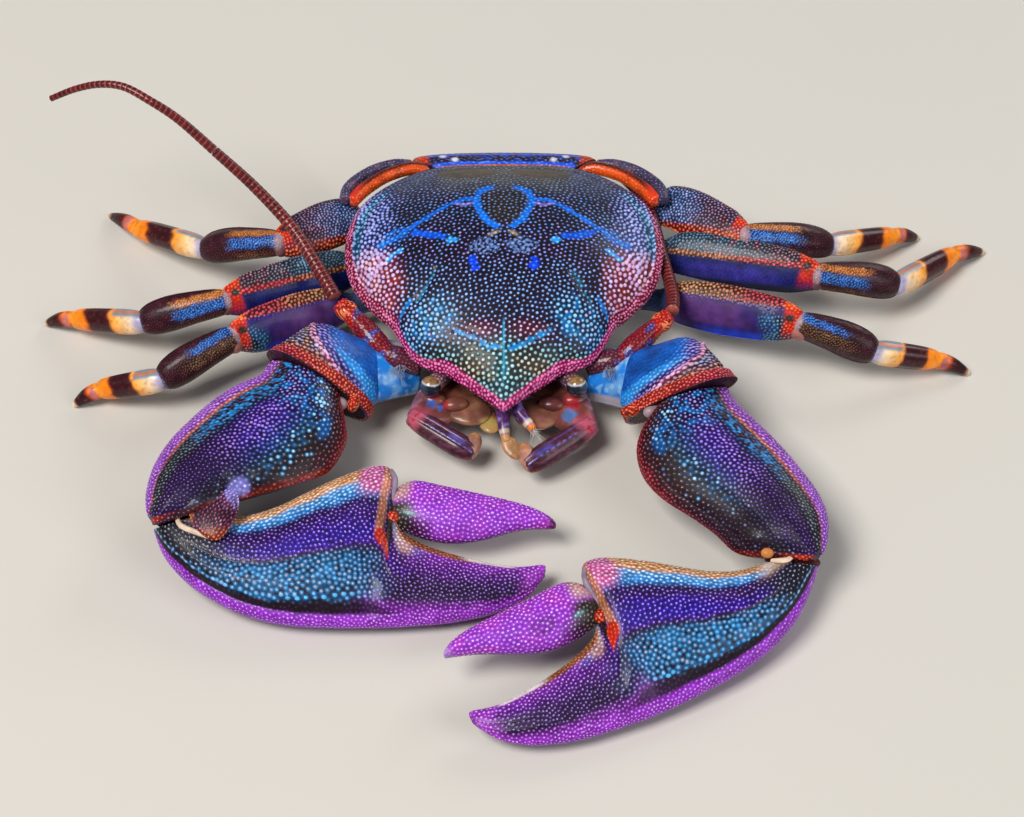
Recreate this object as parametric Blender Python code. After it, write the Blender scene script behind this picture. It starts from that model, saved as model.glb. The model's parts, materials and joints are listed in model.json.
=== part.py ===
# A large purple porcelain crab at life size, crouched on the floor with both claws laid out in front.
# Sizes are in millimetres in the crab's own frame: +X is the crab's left, -Y its front, +Z up, and the
# point (0, 0, 0) is on the floor under the middle of the shell. An empty carries that frame.
import math

import bmesh
import bpy
from mathutils import Matrix, Vector
from mathutils.geometry import interpolate_bezier

MM = 0.001
GAP = 0.3  # left between neighbours
HALF_GAP = GAP / 2
FRAME_PLACE = (-1.7, 14.1, 0.0)  # puts the middle of the whole crab's box over the origin

# The shell's rim lies in a plane that drops towards the front
RIM_HEIGHT = 7.8
RIM_SLOPE = 0.085
SHELL_DOME = 4.9
SHELL_LIP = 0.5
SHELL_SIDES = 48
SHELL_OUTLINE = (
    (0.0, -15.3), (2.2, -13.6), (4.0, -12.2), (5.6, -11.0), (7.2, -10.4), (8.3, -9.8), (9.3, -8.6),
    (10.2, -7.0), (11.0, -5.5), (12.6, -3.9), (14.4, -1.6), (15.5, 0.9), (16.0, 4.0), (15.7, 7.2),
    (14.4, 10.3), (11.8, 12.9), (8.2, 14.9), (4.2, 15.5), (0.0, 15.5),
)
BODY_OUTLINE = (
    (0.0, -9.4), (4.0, -9.5), (7.8, -8.7), (10.1, -6.3), (11.9, -3.4), (13.5, 0.0), (14.2, 4.0),
    (13.9, 8.5), (12.0, 12.0), (7.8, 14.3), (0.0, 14.8),
)
BODY_SIDES = 32
BELLY_HEIGHT = 2.2

# Outlines of the claws in their own plane: distance along, then out from the middle line
PALM_OUTER = {
    "right": (
        (-2.0, 0.6), (-1.2, 2.1), (-0.3, 3.5), (1.2, 4.9), (3.1, 6.2), (5.1, 7.1), (7.1, 7.9), (9.6, 8.4),
        (12.4, 8.6), (17.9, 8.1), (23.5, 7.1), (27.5, 6.1), (31.0, 4.7), (33.4, 3.0), (34.6, 1.2), (35.0, 0.3),
    ),
    "left": (
        (-2.0, 0.3), (-0.9, 0.9), (0.4, 2.3), (2.4, 3.9), (4.3, 5.1), (7.1, 6.2), (9.8, 6.8), (12.9, 7.1),
        (18.7, 7.2), (23.5, 6.7), (27.5, 6.0), (31.0, 4.7), (33.4, 3.0), (34.6, 1.2), (35.0, 0.3),
    ),
}
PALM_INNER = (
    (-2.0, 0.9), (-1.0, 1.3), (1.0, 1.1), (3.4, 0.9), (6.2, 1.5), (9.2, 3.0), (12.0, 5.1), (14.6, 7.0),
    (16.8, 8.2), (18.6, 8.6), (19.4, 8.0), (19.9, 5.5), (20.4, 3.0), (21.6, 1.8), (24.0, 0.9), (28.0, 0.2),
    (32.0, 0.0), (33.6, 0.3), (34.6, 0.6), (35.0, 0.4),
)
PALM_UP = ((-2.0, 0.6), (0.0, 1.8), (6.0, 2.5), (14.0, 2.9), (19.0, 2.5), (23.0, 1.9), (30.0, 1.4), (35.0, 0.4))
PALM_DOWN = ((-2.0, 0.6), (0.0, 2.0), (6.0, 3.2), (14.0, 3.6), (19.0, 3.2), (23.0, 2.5), (30.0, 2.0), (35.0, 0.5))
PALM_STOPS = (
    -2.0, -1.4, -0.4, 1.4, 3.6, 6.4, 9.2, 12.0, 14.6, 16.8, 18.4, 19.3, 19.9, 20.5, 21.6, 23.8, 27.0, 30.4,
    32.8, 34.2, 34.8, 35.0,
)
FINGER_TOP = {
    "right": ((19.2, 6.5), (20.4, 7.4), (23.5, 7.2), (27.6, 6.8), (31.6, 6.2), (33.8, 5.4), (34.4, 4.8)),
    "left": ((19.2, 6.9), (20.4, 7.7), (23.5, 7.7), (27.6, 7.6), (31.0, 7.4), (32.7, 6.9), (33.4, 6.4)),
}
FINGER_LOW = {
    "right": ((19.2, -4.6), (20.4, -2.6), (22.4, -1.7), (25.0, -1.5), (28.0, -2.3), (31.0, -3.7), (34.4, -4.3)),
    "left": ((19.2, -5.2), (20.4, -3.0), (22.4, -2.2), (25.0, -2.4), (28.0, -3.7), (30.6, -5.0), (33.4, -6.0)),
}
FINGER_THICK = ((19.2, 0.7), (20.6, 1.7), (24.0, 1.8), (29.5, 1.3), (33.4, 0.7), (34.4, 0.2))
FINGER_STOPS = (19.4, 19.9, 20.6, 21.8, 23.6, 25.8, 28.2, 30.6, 32.6, 33.8, 34.4)
FINGER_HINGE = (0.95, 0.25)  # how far the finger stands off the palm, along and up
ARM_OUTER = {
    "right": (
        (-2.6, 2.6), (-1.0, 3.0), (2.2, 3.9), (4.3, 4.8), (7.1, 5.4), (10.4, 5.6), (13.5, 5.5), (16.0, 5.0),
        (18.0, 4.2), (19.6, 2.9),
    ),
    "left": (
        (-2.6, 2.6), (-1.0, 3.0), (2.6, 3.5), (6.2, 4.1), (9.2, 4.5), (12.2, 4.7), (15.4, 4.7), (17.6, 4.4),
        (19.6, 3.0),
    ),
}
ARM_INNER = {
    "right": (
        (-2.6, 2.2), (-1.0, 3.3), (0.9, 5.2), (2.3, 6.9), (5.5, 8.0), (8.4, 8.0), (11.2, 7.1), (12.8, 5.8),
        (14.2, 4.8), (16.2, 4.7), (18.4, 3.3), (19.6, 1.7),
    ),
    "left": (
        (-2.6, 1.6), (-1.2, 2.8), (-0.1, 4.1), (0.7, 5.8), (2.6, 7.4), (5.6, 8.3), (8.6, 7.9), (11.6, 6.7),
        (14.6, 5.7), (17.2, 5.2), (18.8, 3.8), (19.6, 2.4),
    ),
}
ARM_UP = ((-2.6, 1.9), (0.6, 2.4), (5.0, 2.7), (12.0, 2.6), (17.5, 2.2), (19.6, 1.2))
ARM_DOWN = ((-2.6, 1.8), (0.6, 2.2), (5.0, 2.6), (12.0, 2.6), (17.5, 2.0), (19.6, 1.0))
ARM_STOPS = (-2.6, -1.2, 0.4, 2.0, 4.0, 6.5, 9.0, 11.0, 12.4, 13.4, 14.8, 16.4, 18.0, 19.0, 19.6)

# Share of the length, half breadth and half thickness
CLAW_BASE_FORM = ((0.0, 2.6, 1.6), (0.4, 3.0, 1.9), (0.8, 3.4, 2.1), (1.25, 3.5, 2.3))
CLAW_MERUS_FORM = (
    (-0.3, 2.8, 2.0), (0.05, 3.6, 2.3), (0.3, 4.9, 2.6), (0.5, 5.6, 2.7), (0.8, 5.4, 2.8), (1.25, 4.3, 2.7),
    (1.75, 2.7, 2.0),
)

# Where each claw's joints stand in this pose
CLAWS = {
    "right": dict(
        side=-1, root=(-13.6, -8.6, 4.9), elbow=(-18.9, -11.8, 6.6), arm_end=(-29.1, -25.2, 6.2), arm_roll=-9,
        wrist=(-30.7, -27.1, 4.0), tip=(3.5, -31.3, 2.6), palm_roll=12,
        elbow_plane=(-19.3, -12.0, 6.6), elbow_normal=(-0.51, -0.86, 0.0),
        wrist_plane=(-29.3, -26.8, 4.8), wrist_normal=(0.30, -0.78, -0.55), finger_share=1.0,
    ),
    "left": dict(
        side=1, root=(13.2, -9.6, 4.9), elbow=(17.9, -13.9, 6.6), arm_end=(26.5, -30.3, 6.2), arm_roll=-9,
        wrist=(27.9, -31.2, 4.2), tip=(-2.5, -47.4, 2.8), palm_roll=14,
        elbow_plane=(18.1, -14.2, 6.6), elbow_normal=(0.25, -0.97, 0.0),
        wrist_plane=(27.2, -32.0, 4.6), wrist_normal=(-0.08, -0.82, -0.55), finger_share=0.935,
    ),
}

# Hip, slender neck, broad shoulder and knee of each walking leg's first piece, then ankle, wrist and tip
LEGS = {
    "leg_4_left": (
        (11.6, 11.8, 4.2), (14.3, 12.0, 4.6), (17.0, 12.1, 6.7), (24.3, 6.5, 8.0),
        (33.6, 8.6, 4.6), (40.7, 12.4, 2.0), (43.8, 13.9, 0.15),
    ),
    "leg_3_left": (
        (12.6, 7.6, 3.8), (15.6, 7.2, 4.3), (18.6, 6.3, 5.7), (31.3, 2.0, 7.0),
        (39.9, 3.2, 4.4), (46.7, 9.8, 1.9), (50.5, 11.9, 0.15),
    ),
    "leg_2_left": (
        (12.6, 2.4, 3.5), (15.6, 1.4, 4.0), (18.4, 0.0, 5.1), (29.2, -3.9, 6.4),
        (36.8, -5.7, 4.2), (43.3, -4.7, 1.9), (46.9, -5.1, 0.15),
    ),
    "leg_4_right": (
        (-11.6, 11.0, 4.2), (-13.8, 11.1, 4.8), (-16.0, 10.2, 6.8), (-22.6, 5.6, 8.0),
        (-30.9, 8.1, 4.6), (-38.6, 13.6, 2.0), (-42.2, 17.3, 0.15),
    ),
    "leg_3_right": (
        (-12.6, 6.2, 3.8), (-14.8, 5.4, 4.3), (-17.2, 4.0, 5.5), (-27.6, -0.8, 6.4),
        (-36.3, -1.9, 4.4), (-43.6, 0.8, 1.9), (-47.1, 1.7, 0.15),
    ),
    "leg_2_right": (
        (-12.4, 2.4, 3.5), (-15.2, 1.0, 3.9), (-17.9, -0.6, 4.9), (-26.6, -5.4, 6.2),
        (-33.7, -9.3, 4.2), (-40.0, -8.6, 1.9), (-42.9, -9.3, 0.15),
    ),
}
LEG_SIDES = 12
# The broad side of each leg looks this way
LEG_FACES = {"leg_4": (0.0, -0.5, 0.87), "leg_3": (0.0, -0.72, 0.69), "leg_2": (0.0, -0.8, 0.6)}
# Half breadth and half thickness of the first piece, by its place along the four joints
MERUS_BREADTH = ((0.0, 1.3), (1.0, 1.15), (1.5, 1.7), (2.0, 2.35), (2.4, 2.65), (2.8, 2.3), (3.0, 2.1))
MERUS_THICKNESS = ((0.0, 1.1), (1.0, 1.05), (2.0, 1.1), (2.5, 1.2), (3.0, 1.1))
# Share of the length, half breadth and half thickness of the other pieces
CARPUS_FORM = (
    (-0.1, 0.7, 0.6), (0.05, 1.15, 1.0), (0.3, 1.55, 1.25), (0.6, 1.85, 1.4), (0.85, 1.75, 1.3), (1.05, 1.2, 1.0),
)
PROPODUS_FORM = (
    (-0.1, 0.9, 0.8), (0.1, 1.3, 1.15), (0.45, 1.3, 1.1), (0.8, 1.2, 1.0), (1.0, 1.0, 0.85), (1.06, 0.7, 0.6),
)
DACTYL_FORM = ((-0.12, 0.6, 0.55), (0.1, 0.9, 0.8), (0.45, 0.8, 0.7), (0.8, 0.5, 0.45), (1.0, 0.3, 0.27))

# The folded last legs, drawn on the left side: the hand lies behind the arm
FIFTH_ARM = ((6.6, 13.8, 6.4), (8.6, 16.4, 7.8), (11.7, 15.3, 8.3), (14.2, 13.0, 8.5), (15.6, 10.6, 8.8))
FIFTH_HAND = ((16.3, 10.6, 9.0), (15.9, 13.2, 8.5), (13.9, 15.7, 8.1), (11.6, 17.1, 7.8), (9.6, 17.6, 7.6))
FIFTH_ARM_RADII = ((0, 0.7), (1, 0.7), (3, 0.75), (4, 0.7))
FIFTH_HAND_RADII = ((0, 0.6), (1, 0.62), (3, 0.6), (4, 0.35))

# Long feelers as points for a smooth curve: one held up and back, one laid along the flank and behind
FEELERS = {
    "right": (
        (-16.7, -2.2, 8.5), (-18.7, 1.2, 9.6), (-21.2, 4.8, 11.2), (-24.9, 7.8, 13.8), (-28.7, 10.1, 16.4),
        (-32.3, 12.2, 18.8), (-35.2, 13.4, 20.3), (-37.8, 14.7, 20.9), (-40.3, 15.4, 20.6), (-42.9, 15.8, 19.6),
        (-45.6, 15.9, 18.2),
    ),
    "left": (
        (16.6, -3.6, 8.0), (16.8, -1.4, 7.5), (16.6, 1.2, 7.0), (16.2, 4.0, 6.7), (15.8, 7.0, 6.6),
        (15.3, 9.8, 6.9), (14.6, 12.4, 7.0), (13.3, 15.2, 6.5), (11.4, 18.3, 5.6), (8.2, 20.7, 4.7),
        (3.0, 21.3, 3.9), (-2.5, 21.3, 3.3),
    ),
}
FEELER_ROOT = 0.66
FEELER_TIP = 0.3
FEELER_SPLIT = 0.5
FEELER_STEPS = 15
FEELER_BASES = {
    "right": ((8.0, -8.6, 5.4), (11.4, -7.6, 6.2), (14.2, -4.8, 7.4), (16.3, -2.8, 8.2)),
    "left": ((8.0, -8.6, 5.4), (11.4, -8.2, 6.2), (14.2, -6.0, 7.3), (16.3, -4.1, 7.9)),
}
FEELER_BASE_RADII = ((0, 1.0), (0.8, 1.2), (1.0, 0.95), (1.4, 1.2), (2.1, 1.0), (2.3, 0.9), (3, 0.85))

# The inner feelers under the point of the shell
ANTENNULES = {
    "right": ((1.2, -9.2, 5.0), (0.7, -12.4, 5.0), (0.1, -15.0, 4.2), (-0.4, -17.2, 3.4)),
    "left": ((1.6, -9.2, 5.0), (1.7, -12.4, 5.0), (2.3, -14.6, 4.6), (2.9, -15.9, 4.2)),
}
ANTENNULE_RADII = ((0, 0.7), (2, 0.6), (3, 0.35))

EYE_RADIUS = 1.02
EYE_PLACE = (7.1, -11.6, 5.9)
EYESTALK_ROOT = (5.0, -9.0, 5.5)
EYESTALK_FORM = ((0.0, 0.8), (0.4, 0.85), (0.75, 0.95), (1.0, 0.9))

# Elbow, inner bend and folded end of each outer mouth leg
MOUTH_LEGS = {
    "right": ((8.4, -14.1, 3.7), (3.3, -17.4, 2.9), (2.7, -15.6, 3.2)),
    "left": ((8.0, -15.1, 3.6), (2.6, -18.9, 2.9), (1.9, -16.9, 3.2)),
}
MOUTH_LEG_HINGE = (4.8, -10.0, 3.2)
MOUTH_FACE = (0, -0.3, 0.95)
MOUTH_PLATE_FORM = ((-0.3, 1.6, 0.7), (0.1, 2.2, 0.8), (0.55, 2.3, 0.85), (0.9, 1.5, 0.9), (1.2, 1.0, 0.8))
MOUTH_BAR_FORM = ((-0.16, 0.8, 0.7), (0.08, 1.15, 1.0), (0.5, 1.25, 1.05), (0.88, 1.2, 1.0), (1.1, 0.7, 0.6))
MOUTH_HAND_FORM = ((-0.3, 0.6, 0.5), (0.1, 0.9, 0.8), (0.7, 0.85, 0.75), (1.1, 0.45, 0.4))
# Places from back to front down the middle, height and half width
JAWS = ((-9.0, 2.8, 2.2), (-10.2, 2.8, 2.2), (-11.2, 2.7, 1.8), (-11.8, 2.6, 1.0))
JAWS_SQUASH = 0.5

# Each tail plate: its thickness, then place, height and half width down its middle
TAIL = {
    "tail_upper": (0.75, ((15.7, 8.1, 6.6), (17.2, 8.1, 8.6), (18.6, 7.0, 9.6), (19.0, 5.4, 9.8), (18.6, 4.0, 9.6))),
    "tail_lower": (
        0.55,
        ((18.3, 3.2, 9.4), (16.4, 1.8, 9.2), (13.0, 1.35, 8.8), (8.0, 1.3, 8.0), (3.0, 1.3, 6.4), (-0.5, 1.35, 5.4)),
    ),
    "tail_fan": (0.5, ((0.8, 1.35, 5.4), (-2.0, 1.35, 5.6), (-4.2, 1.35, 4.4), (-5.4, 1.35, 2.4))),
}
TAIL_FOLD = ((0, 18.5, 3.6), (0, -0.45, -0.9))  # a point of the cut and its direction
FAN_FOLD = ((0, 0.2, 1.35), (0, -1, 0))

COLOURS = {
    "shell": (0.09, 0.07, 0.12), "flank": (0.30, 0.33, 0.42), "claw": (0.22, 0.08, 0.30),
    "finger": (0.45, 0.10, 0.55), "leg_blue": (0.20, 0.12, 0.28), "leg_dark": (0.10, 0.03, 0.05),
    "banded": (0.80, 0.45, 0.20), "feeler": (0.35, 0.06, 0.06), "mouth": (0.45, 0.22, 0.14),
    "mouth_dark": (0.16, 0.06, 0.12), "eye": (0.05, 0.05, 0.07), "orange": (0.70, 0.12, 0.03),
    "tail": (0.16, 0.10, 0.16),
}


def clear_scene():
    for obj in list(bpy.data.objects):
        bpy.data.objects.remove(obj)


def make_collection(name):
    collection = bpy.data.collections.new(name)
    bpy.context.scene.collection.children.link(collection)
    return collection


def material(name):
    found = bpy.data.materials.get(name)
    if found:
        return found
    made = bpy.data.materials.new(name)
    made.use_nodes = True
    shader = made.node_tree.nodes["Principled BSDF"]
    shader.inputs["Base Color"].default_value = (*COLOURS[name], 1.0)
    shader.inputs["Roughness"].default_value = 0.35
    shader.inputs["Metallic"].default_value = 0.0
    return made


def rim_height(y):
    return RIM_HEIGHT + RIM_SLOPE * y


def between(table, at):
    # A smooth curve through the table's pairs, read at one place along it
    if at <= table[0][0]:
        return table[0][1]
    for i in range(len(table) - 1):
        (x0, y0), (x1, y1) = table[i], table[i + 1]
        if at > x1:
            continue
        before = table[max(i - 1, 0)]
        after = table[min(i + 2, len(table) - 1)]
        slope0 = (y1 - before[1]) / (x1 - before[0])
        slope1 = (after[1] - y0) / (after[0] - x0)
        span = x1 - x0
        t = (at - x0) / span
        return (
            (2 * t**3 - 3 * t**2 + 1) * y0 + (t**3 - 2 * t**2 + t) * span * slope0
            + (3 * t**2 - 2 * t**3) * y1 + (t**3 - t**2) * span * slope1
        )
    return table[-1][1]


def smooth_line(points, per_span):
    # Points along a smooth curve through the given ones
    points = [Vector(p) for p in points]
    line = []
    for i in range(len(points) - 1):
        before = points[max(i - 1, 0)]
        after = points[min(i + 2, len(points) - 1)]
        reach0 = (points[i + 1] - before) / (6 if i else 3)
        reach1 = (after - points[i]) / (6 if i + 2 < len(points) else 3)
        line += interpolate_bezier(
            points[i], points[i] + reach0, points[i + 1] - reach1, points[i + 1], per_span + 1
        )[:-1]
    return line + [points[-1]]


def object_from(mesh, name, finish):
    # A piece with a finish is part of the crab, and one without is a cutter
    obj = bpy.data.objects.new(name, mesh)
    obj.parent = crab_frame
    if finish:
        mesh.materials.append(material(finish))
        parts.objects.link(obj)
    else:
        obj.hide_render = True
        obj.display_type = "WIRE"
        cutters.objects.link(obj)
    return obj


def loft(name, rings, finish):
    # A closed solid through rings of equal count, with a flat cap at each end
    mesh = bpy.data.meshes.new(name)
    shape = bmesh.new()
    rows = [[shape.verts.new(Vector(p) * MM) for p in ring] for ring in rings]
    count = len(rows[0])
    for row, following in zip(rows, rows[1:]):
        for i in range(count):
            j = (i + 1) % count
            shape.faces.new((row[i], row[j], following[j], following[i]))
    shape.faces.new(reversed(rows[0]))
    shape.faces.new(rows[-1])
    bmesh.ops.recalc_face_normals(shape, faces=shape.faces)
    shape.to_mesh(mesh)
    shape.free()
    mesh.shade_smooth()
    mesh.set_sharp_from_angle(angle=math.radians(40))
    return object_from(mesh, name, finish)


def cut_away(obj, point, normal):
    # Takes away what lies beyond a plane and closes the cut flat
    shape = bmesh.new()
    shape.from_mesh(obj.data)
    geometry = shape.verts[:] + shape.edges[:] + shape.faces[:]
    bmesh.ops.bisect_plane(
        shape, geom=geometry, dist=1e-7, plane_co=Vector(point) * MM, plane_no=Vector(normal), clear_outer=True
    )
    edges = [e for e in shape.edges if e.is_boundary]
    if edges:
        bmesh.ops.contextual_create(shape, geom=edges)
    shape.to_mesh(obj.data)
    shape.free()


def trim(obj, *grown_neighbours):
    # Leaves a gap to the neighbours that this piece grows from or lies against
    for neighbour in grown_neighbours:
        carve = obj.modifiers.new("trim_" + neighbour.name, "BOOLEAN")
        carve.operation = "DIFFERENCE"
        carve.object = neighbour


def fuse(obj, other):
    # Joins a helper solid to a piece
    join = obj.modifiers.new("fuse_" + other.name, "BOOLEAN")
    join.operation = "UNION"
    join.object = other


def meet(first, second, point, normal):
    # Two pieces face each other across a plane through a joint
    normal = Vector(normal).normalized()
    cut_away(first, Vector(point) - normal * HALF_GAP, normal)
    cut_away(second, Vector(point) + normal * HALF_GAP, -normal)


def joint_normal(before, joint, after):
    forward = (Vector(after) - Vector(joint)).normalized()
    backward = (Vector(before) - Vector(joint)).normalized()
    return (forward - backward).normalized()


def sit_on_floor(obj):
    cut_away(obj, (0, 0, 0), (0, 0, -1))


def section(centre, wide, tall, half_wide, up, down, sides, edge=1.0):
    # One oval cross-section; a larger edge makes its margins sharper
    ring = []
    for i in range(sides):
        angle = 2 * math.pi * i / sides
        across = math.cos(angle)
        height = math.sin(angle)
        lift = (up if height > 0 else -down) * abs(height) ** edge
        ring.append(centre + wide * half_wide * across + tall * lift)
    return ring


def limb_frame(start, end, face):
    axis = (Vector(end) - Vector(start)).normalized()
    tall = Vector(face)
    tall = (tall - axis * tall.dot(axis)).normalized()
    return axis.cross(tall), tall


def limb(name, start, end, face, form, sides, finish, lift=0.0):
    # A tapering piece from one joint to the next, with its broad side turned to face
    start, end = Vector(start), Vector(end)
    wide, tall = limb_frame(start, end, face)
    rings = []
    for share, half_wide, half_thick in form:
        bend = Vector((0, 0, lift)) * math.sin(math.pi * min(max(share, 0), 1))
        centre = start.lerp(end, share) + bend
        rings.append(section(centre, wide, tall, half_wide, half_thick, half_thick, sides))
    return loft(name, rings, finish)


def bent_tube(name, route, radii, sides, finish, per_span=3, grow=0.0, squash=1.0):
    # A tube on a smooth curve through the route, its rings square to the curve
    line = smooth_line(route, per_span)
    rings = []
    wide = None
    for i, point in enumerate(line):
        along = (line[min(i + 1, len(line) - 1)] - line[max(i - 1, 0)]).normalized()
        guide = wide or along.cross(Vector((0, 0, 1)))
        wide = (guide - along * guide.dot(along)).normalized()
        radius = between(radii, i / per_span) + grow
        rings.append(section(point, wide, wide.cross(along), radius, radius * squash, radius * squash, sides))
    return loft(name, rings, finish)


def on_side(side, *points):
    # Points given for the left side, mirrored for the right one
    return [Vector((side * x, y, z)) for x, y, z in points]


def polar_rings(outline, levels, sides):
    # Rings that follow a mirrored outline, each scaled by a share and set at its own height
    half = [(p.x, p.y) for p in smooth_line([(x, y, 0) for x, y in outline], 6)]
    whole = half + [(-x, y) for x, y in reversed(half[1:-1])]
    turned = sorted((math.atan2(x, -y) % (2 * math.pi), x, y) for x, y in whole)
    turned += [(turned[0][0] + 2 * math.pi, *turned[0][1:])]
    edge = []
    for i in range(sides):
        angle = 2 * math.pi * i / sides
        for (a0, x0, y0), (a1, x1, y1) in zip(turned, turned[1:]):
            if a0 <= angle <= a1:
                share = (angle - a0) / max(a1 - a0, 1e-9)
                edge.append((x0 + (x1 - x0) * share, y0 + (y1 - y0) * share))
                break
    return [[(x * share, y * share, height(y * share)) for x, y in edge] for share, height in levels]


def shell(name, finish, grow=0.0):
    # The shield of the back: a low dome, a rounded rim and a flat underside
    swell = grow / 15
    levels = [
        (0.90, lambda y: rim_height(y) - SHELL_LIP - grow),
        (0.988 + swell, lambda y: rim_height(y) - SHELL_LIP + 0.12 - grow),
    ]
    for share in (1.0, 0.985, 0.95, 0.88, 0.78, 0.64, 0.48, 0.3, 0.12):
        lift = SHELL_DOME * (1 - share**2.3) ** 0.85 + grow
        levels += [(share + swell, lambda y, lift=lift: rim_height(y) + lift)]
    return loft(name, polar_rings(SHELL_OUTLINE, levels, SHELL_SIDES), finish)


def trunk(name, finish, grow=0.0):
    # The body under the shell, narrowing down to the breast plates
    swell = grow / 14
    levels = [
        (0.50 + swell, lambda y: BELLY_HEIGHT - grow),
        (0.70 + swell, lambda y: BELLY_HEIGHT + 0.5 - grow),
        (0.86 + swell, lambda y: BELLY_HEIGHT + 2.4),
        (0.96 + swell, lambda y: rim_height(y) - 1.9),
        (1.0 + swell, lambda y: rim_height(y) - SHELL_LIP - GAP + grow),
    ]
    return loft(name, polar_rings(BODY_OUTLINE, levels, BODY_SIDES), finish)


def claw_frame(origin, tip, roll, inward):
    # Along, across towards the inner margin, and out of the broad face of a claw piece
    along = (Vector(tip) - Vector(origin)).normalized()
    across = Vector((-along.y, along.x, 0)).normalized()
    if across.dot(Vector(inward)) < 0:
        across = -across
    up = Vector((0, 0, 1))
    up = (up - along * up.dot(along)).normalized()
    turn = math.radians(roll)
    return along, across * math.cos(turn) + up * math.sin(turn), up * math.cos(turn) - across * math.sin(turn)


def claw_piece(name, frame, origin, stops, inner, outer, up, down, finish, edge=1.0, sides=16):
    # A piece of a claw drawn by its two margins, with a thickness above and below their plane
    along, across, face = frame
    rings = []
    for stop in stops:
        in_reach, out_reach = between(inner, stop), between(outer, stop)
        centre = origin + along * stop + across * (in_reach - out_reach) / 2
        half = (in_reach + out_reach) / 2
        rings.append(section(centre, across, face, half, between(up, stop), between(down, stop), sides, edge))
    return loft(name, rings, finish)


def claw(name, facts, feeler_cutter):
    side = facts["side"]
    root, elbow, arm_end, wrist = (Vector(facts[key]) for key in ("root", "elbow", "arm_end", "wrist"))
    hip = Vector((side * 8.6, root.y + 1.3, 3.6))
    base = limb(f"claw_base_{name}", hip, root, (0, -0.35, 0.94), CLAW_BASE_FORM, 12, "flank")
    merus = limb(f"claw_merus_{name}", root, elbow, (side * -0.50, -0.28, 0.84), CLAW_MERUS_FORM, 16, "claw")
    arm_frame = claw_frame(elbow, arm_end, facts["arm_roll"], (-side, 0.3, 0))
    arm = claw_piece(
        f"claw_arm_{name}", arm_frame, elbow, ARM_STOPS, ARM_INNER[name], ARM_OUTER[name], ARM_UP, ARM_DOWN,
        "claw", 1.15,
    )
    palm_frame = claw_frame(wrist, facts["tip"], facts["palm_roll"], (0, 1, 0))
    palm = claw_piece(
        f"claw_palm_{name}", palm_frame, wrist, PALM_STOPS, PALM_INNER, PALM_OUTER[name], PALM_UP, PALM_DOWN,
        "claw", 1.05,
    )
    hinge = wrist + palm_frame[0] * FINGER_HINGE[0] + palm_frame[2] * FINGER_HINGE[1]
    finger_stops = [FINGER_STOPS[0] + (stop - FINGER_STOPS[0]) * facts["finger_share"] for stop in FINGER_STOPS]
    claw_piece(
        f"claw_finger_{name}", palm_frame, hinge, finger_stops, FINGER_TOP[name], FINGER_LOW[name],
        FINGER_THICK, FINGER_THICK, "finger", 1.0, 14,
    )
    meet(base, merus, root, joint_normal(hip, root, elbow))
    meet(merus, arm, facts["elbow_plane"], facts["elbow_normal"])
    meet(arm, palm, facts["wrist_plane"], facts["wrist_normal"])
    sit_on_floor(palm)
    trim(base, trunk_cutter, shell_cutter, feeler_cutter)
    trim(merus, shell_cutter, feeler_cutter)


def leg_merus(name, joints, face, finish, grow=0.0):
    # The long first piece: a slender neck at the body that opens into a broad blade
    past_knee = Vector(joints[3]).lerp(Vector(joints[2]), -0.08)
    line = smooth_line([*joints[:3], past_knee], 4)
    wide, tall = limb_frame(joints[1], joints[3], face)
    rings = []
    for i, centre in enumerate(line):
        thick = between(MERUS_THICKNESS, i / 4) + grow
        rings.append(section(centre, wide, tall, between(MERUS_BREADTH, i / 4) + grow, thick, thick, LEG_SIDES))
    return loft(name, rings, finish)


def leg(name, joints, behind):
    # Trimmed by the legs behind it; returns grown copies of its first two pieces
    neck, _, knee, ankle, wrist, tip = joints[1:]
    face = LEG_FACES[name[:5]]
    merus = leg_merus(f"{name}_merus", joints, face, "leg_blue")
    carpus = limb(f"{name}_carpus", knee, ankle, face, CARPUS_FORM, LEG_SIDES, "leg_dark", 0.3)
    propodus = limb(f"{name}_propodus", ankle, wrist, face, PROPODUS_FORM, LEG_SIDES, "banded")
    dactyl = limb(f"{name}_dactyl", wrist, tip, face, DACTYL_FORM, 10, "leg_dark", 0.25)
    meet(merus, carpus, knee, joint_normal(neck, knee, ankle))
    meet(carpus, propodus, ankle, joint_normal(knee, ankle, wrist))
    meet(propodus, dactyl, wrist, joint_normal(ankle, wrist, tip))
    sit_on_floor(dactyl)
    trim(merus, trunk_cutter, shell_cutter, *behind)
    grown = [(share, half_wide + GAP, half_thick + GAP) for share, half_wide, half_thick in CARPUS_FORM]
    return [
        leg_merus(f"{name}_merus_cutter", joints, face, None, GAP),
        limb(f"{name}_carpus_cutter", knee, ankle, face, grown, LEG_SIDES, None, 0.3),
    ]


def fifth_leg(name, side, in_front):
    # The small last leg, folded along the back edge of the shell
    route = on_side(side, *FIFTH_ARM)
    arm = bent_tube(f"fifth_leg_arm_{name}", route, FIFTH_ARM_RADII, 8, "orange")
    grown = bent_tube(f"fifth_leg_cutter_{name}", route, FIFTH_ARM_RADII, 8, None, grow=GAP)
    hand = bent_tube(f"fifth_leg_hand_{name}", on_side(side, *FIFTH_HAND), FIFTH_HAND_RADII, 8, "leg_blue")
    trim(arm, shell_cutter, trunk_cutter, in_front)
    trim(hand, shell_cutter, trunk_cutter, grown, in_front)


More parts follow.
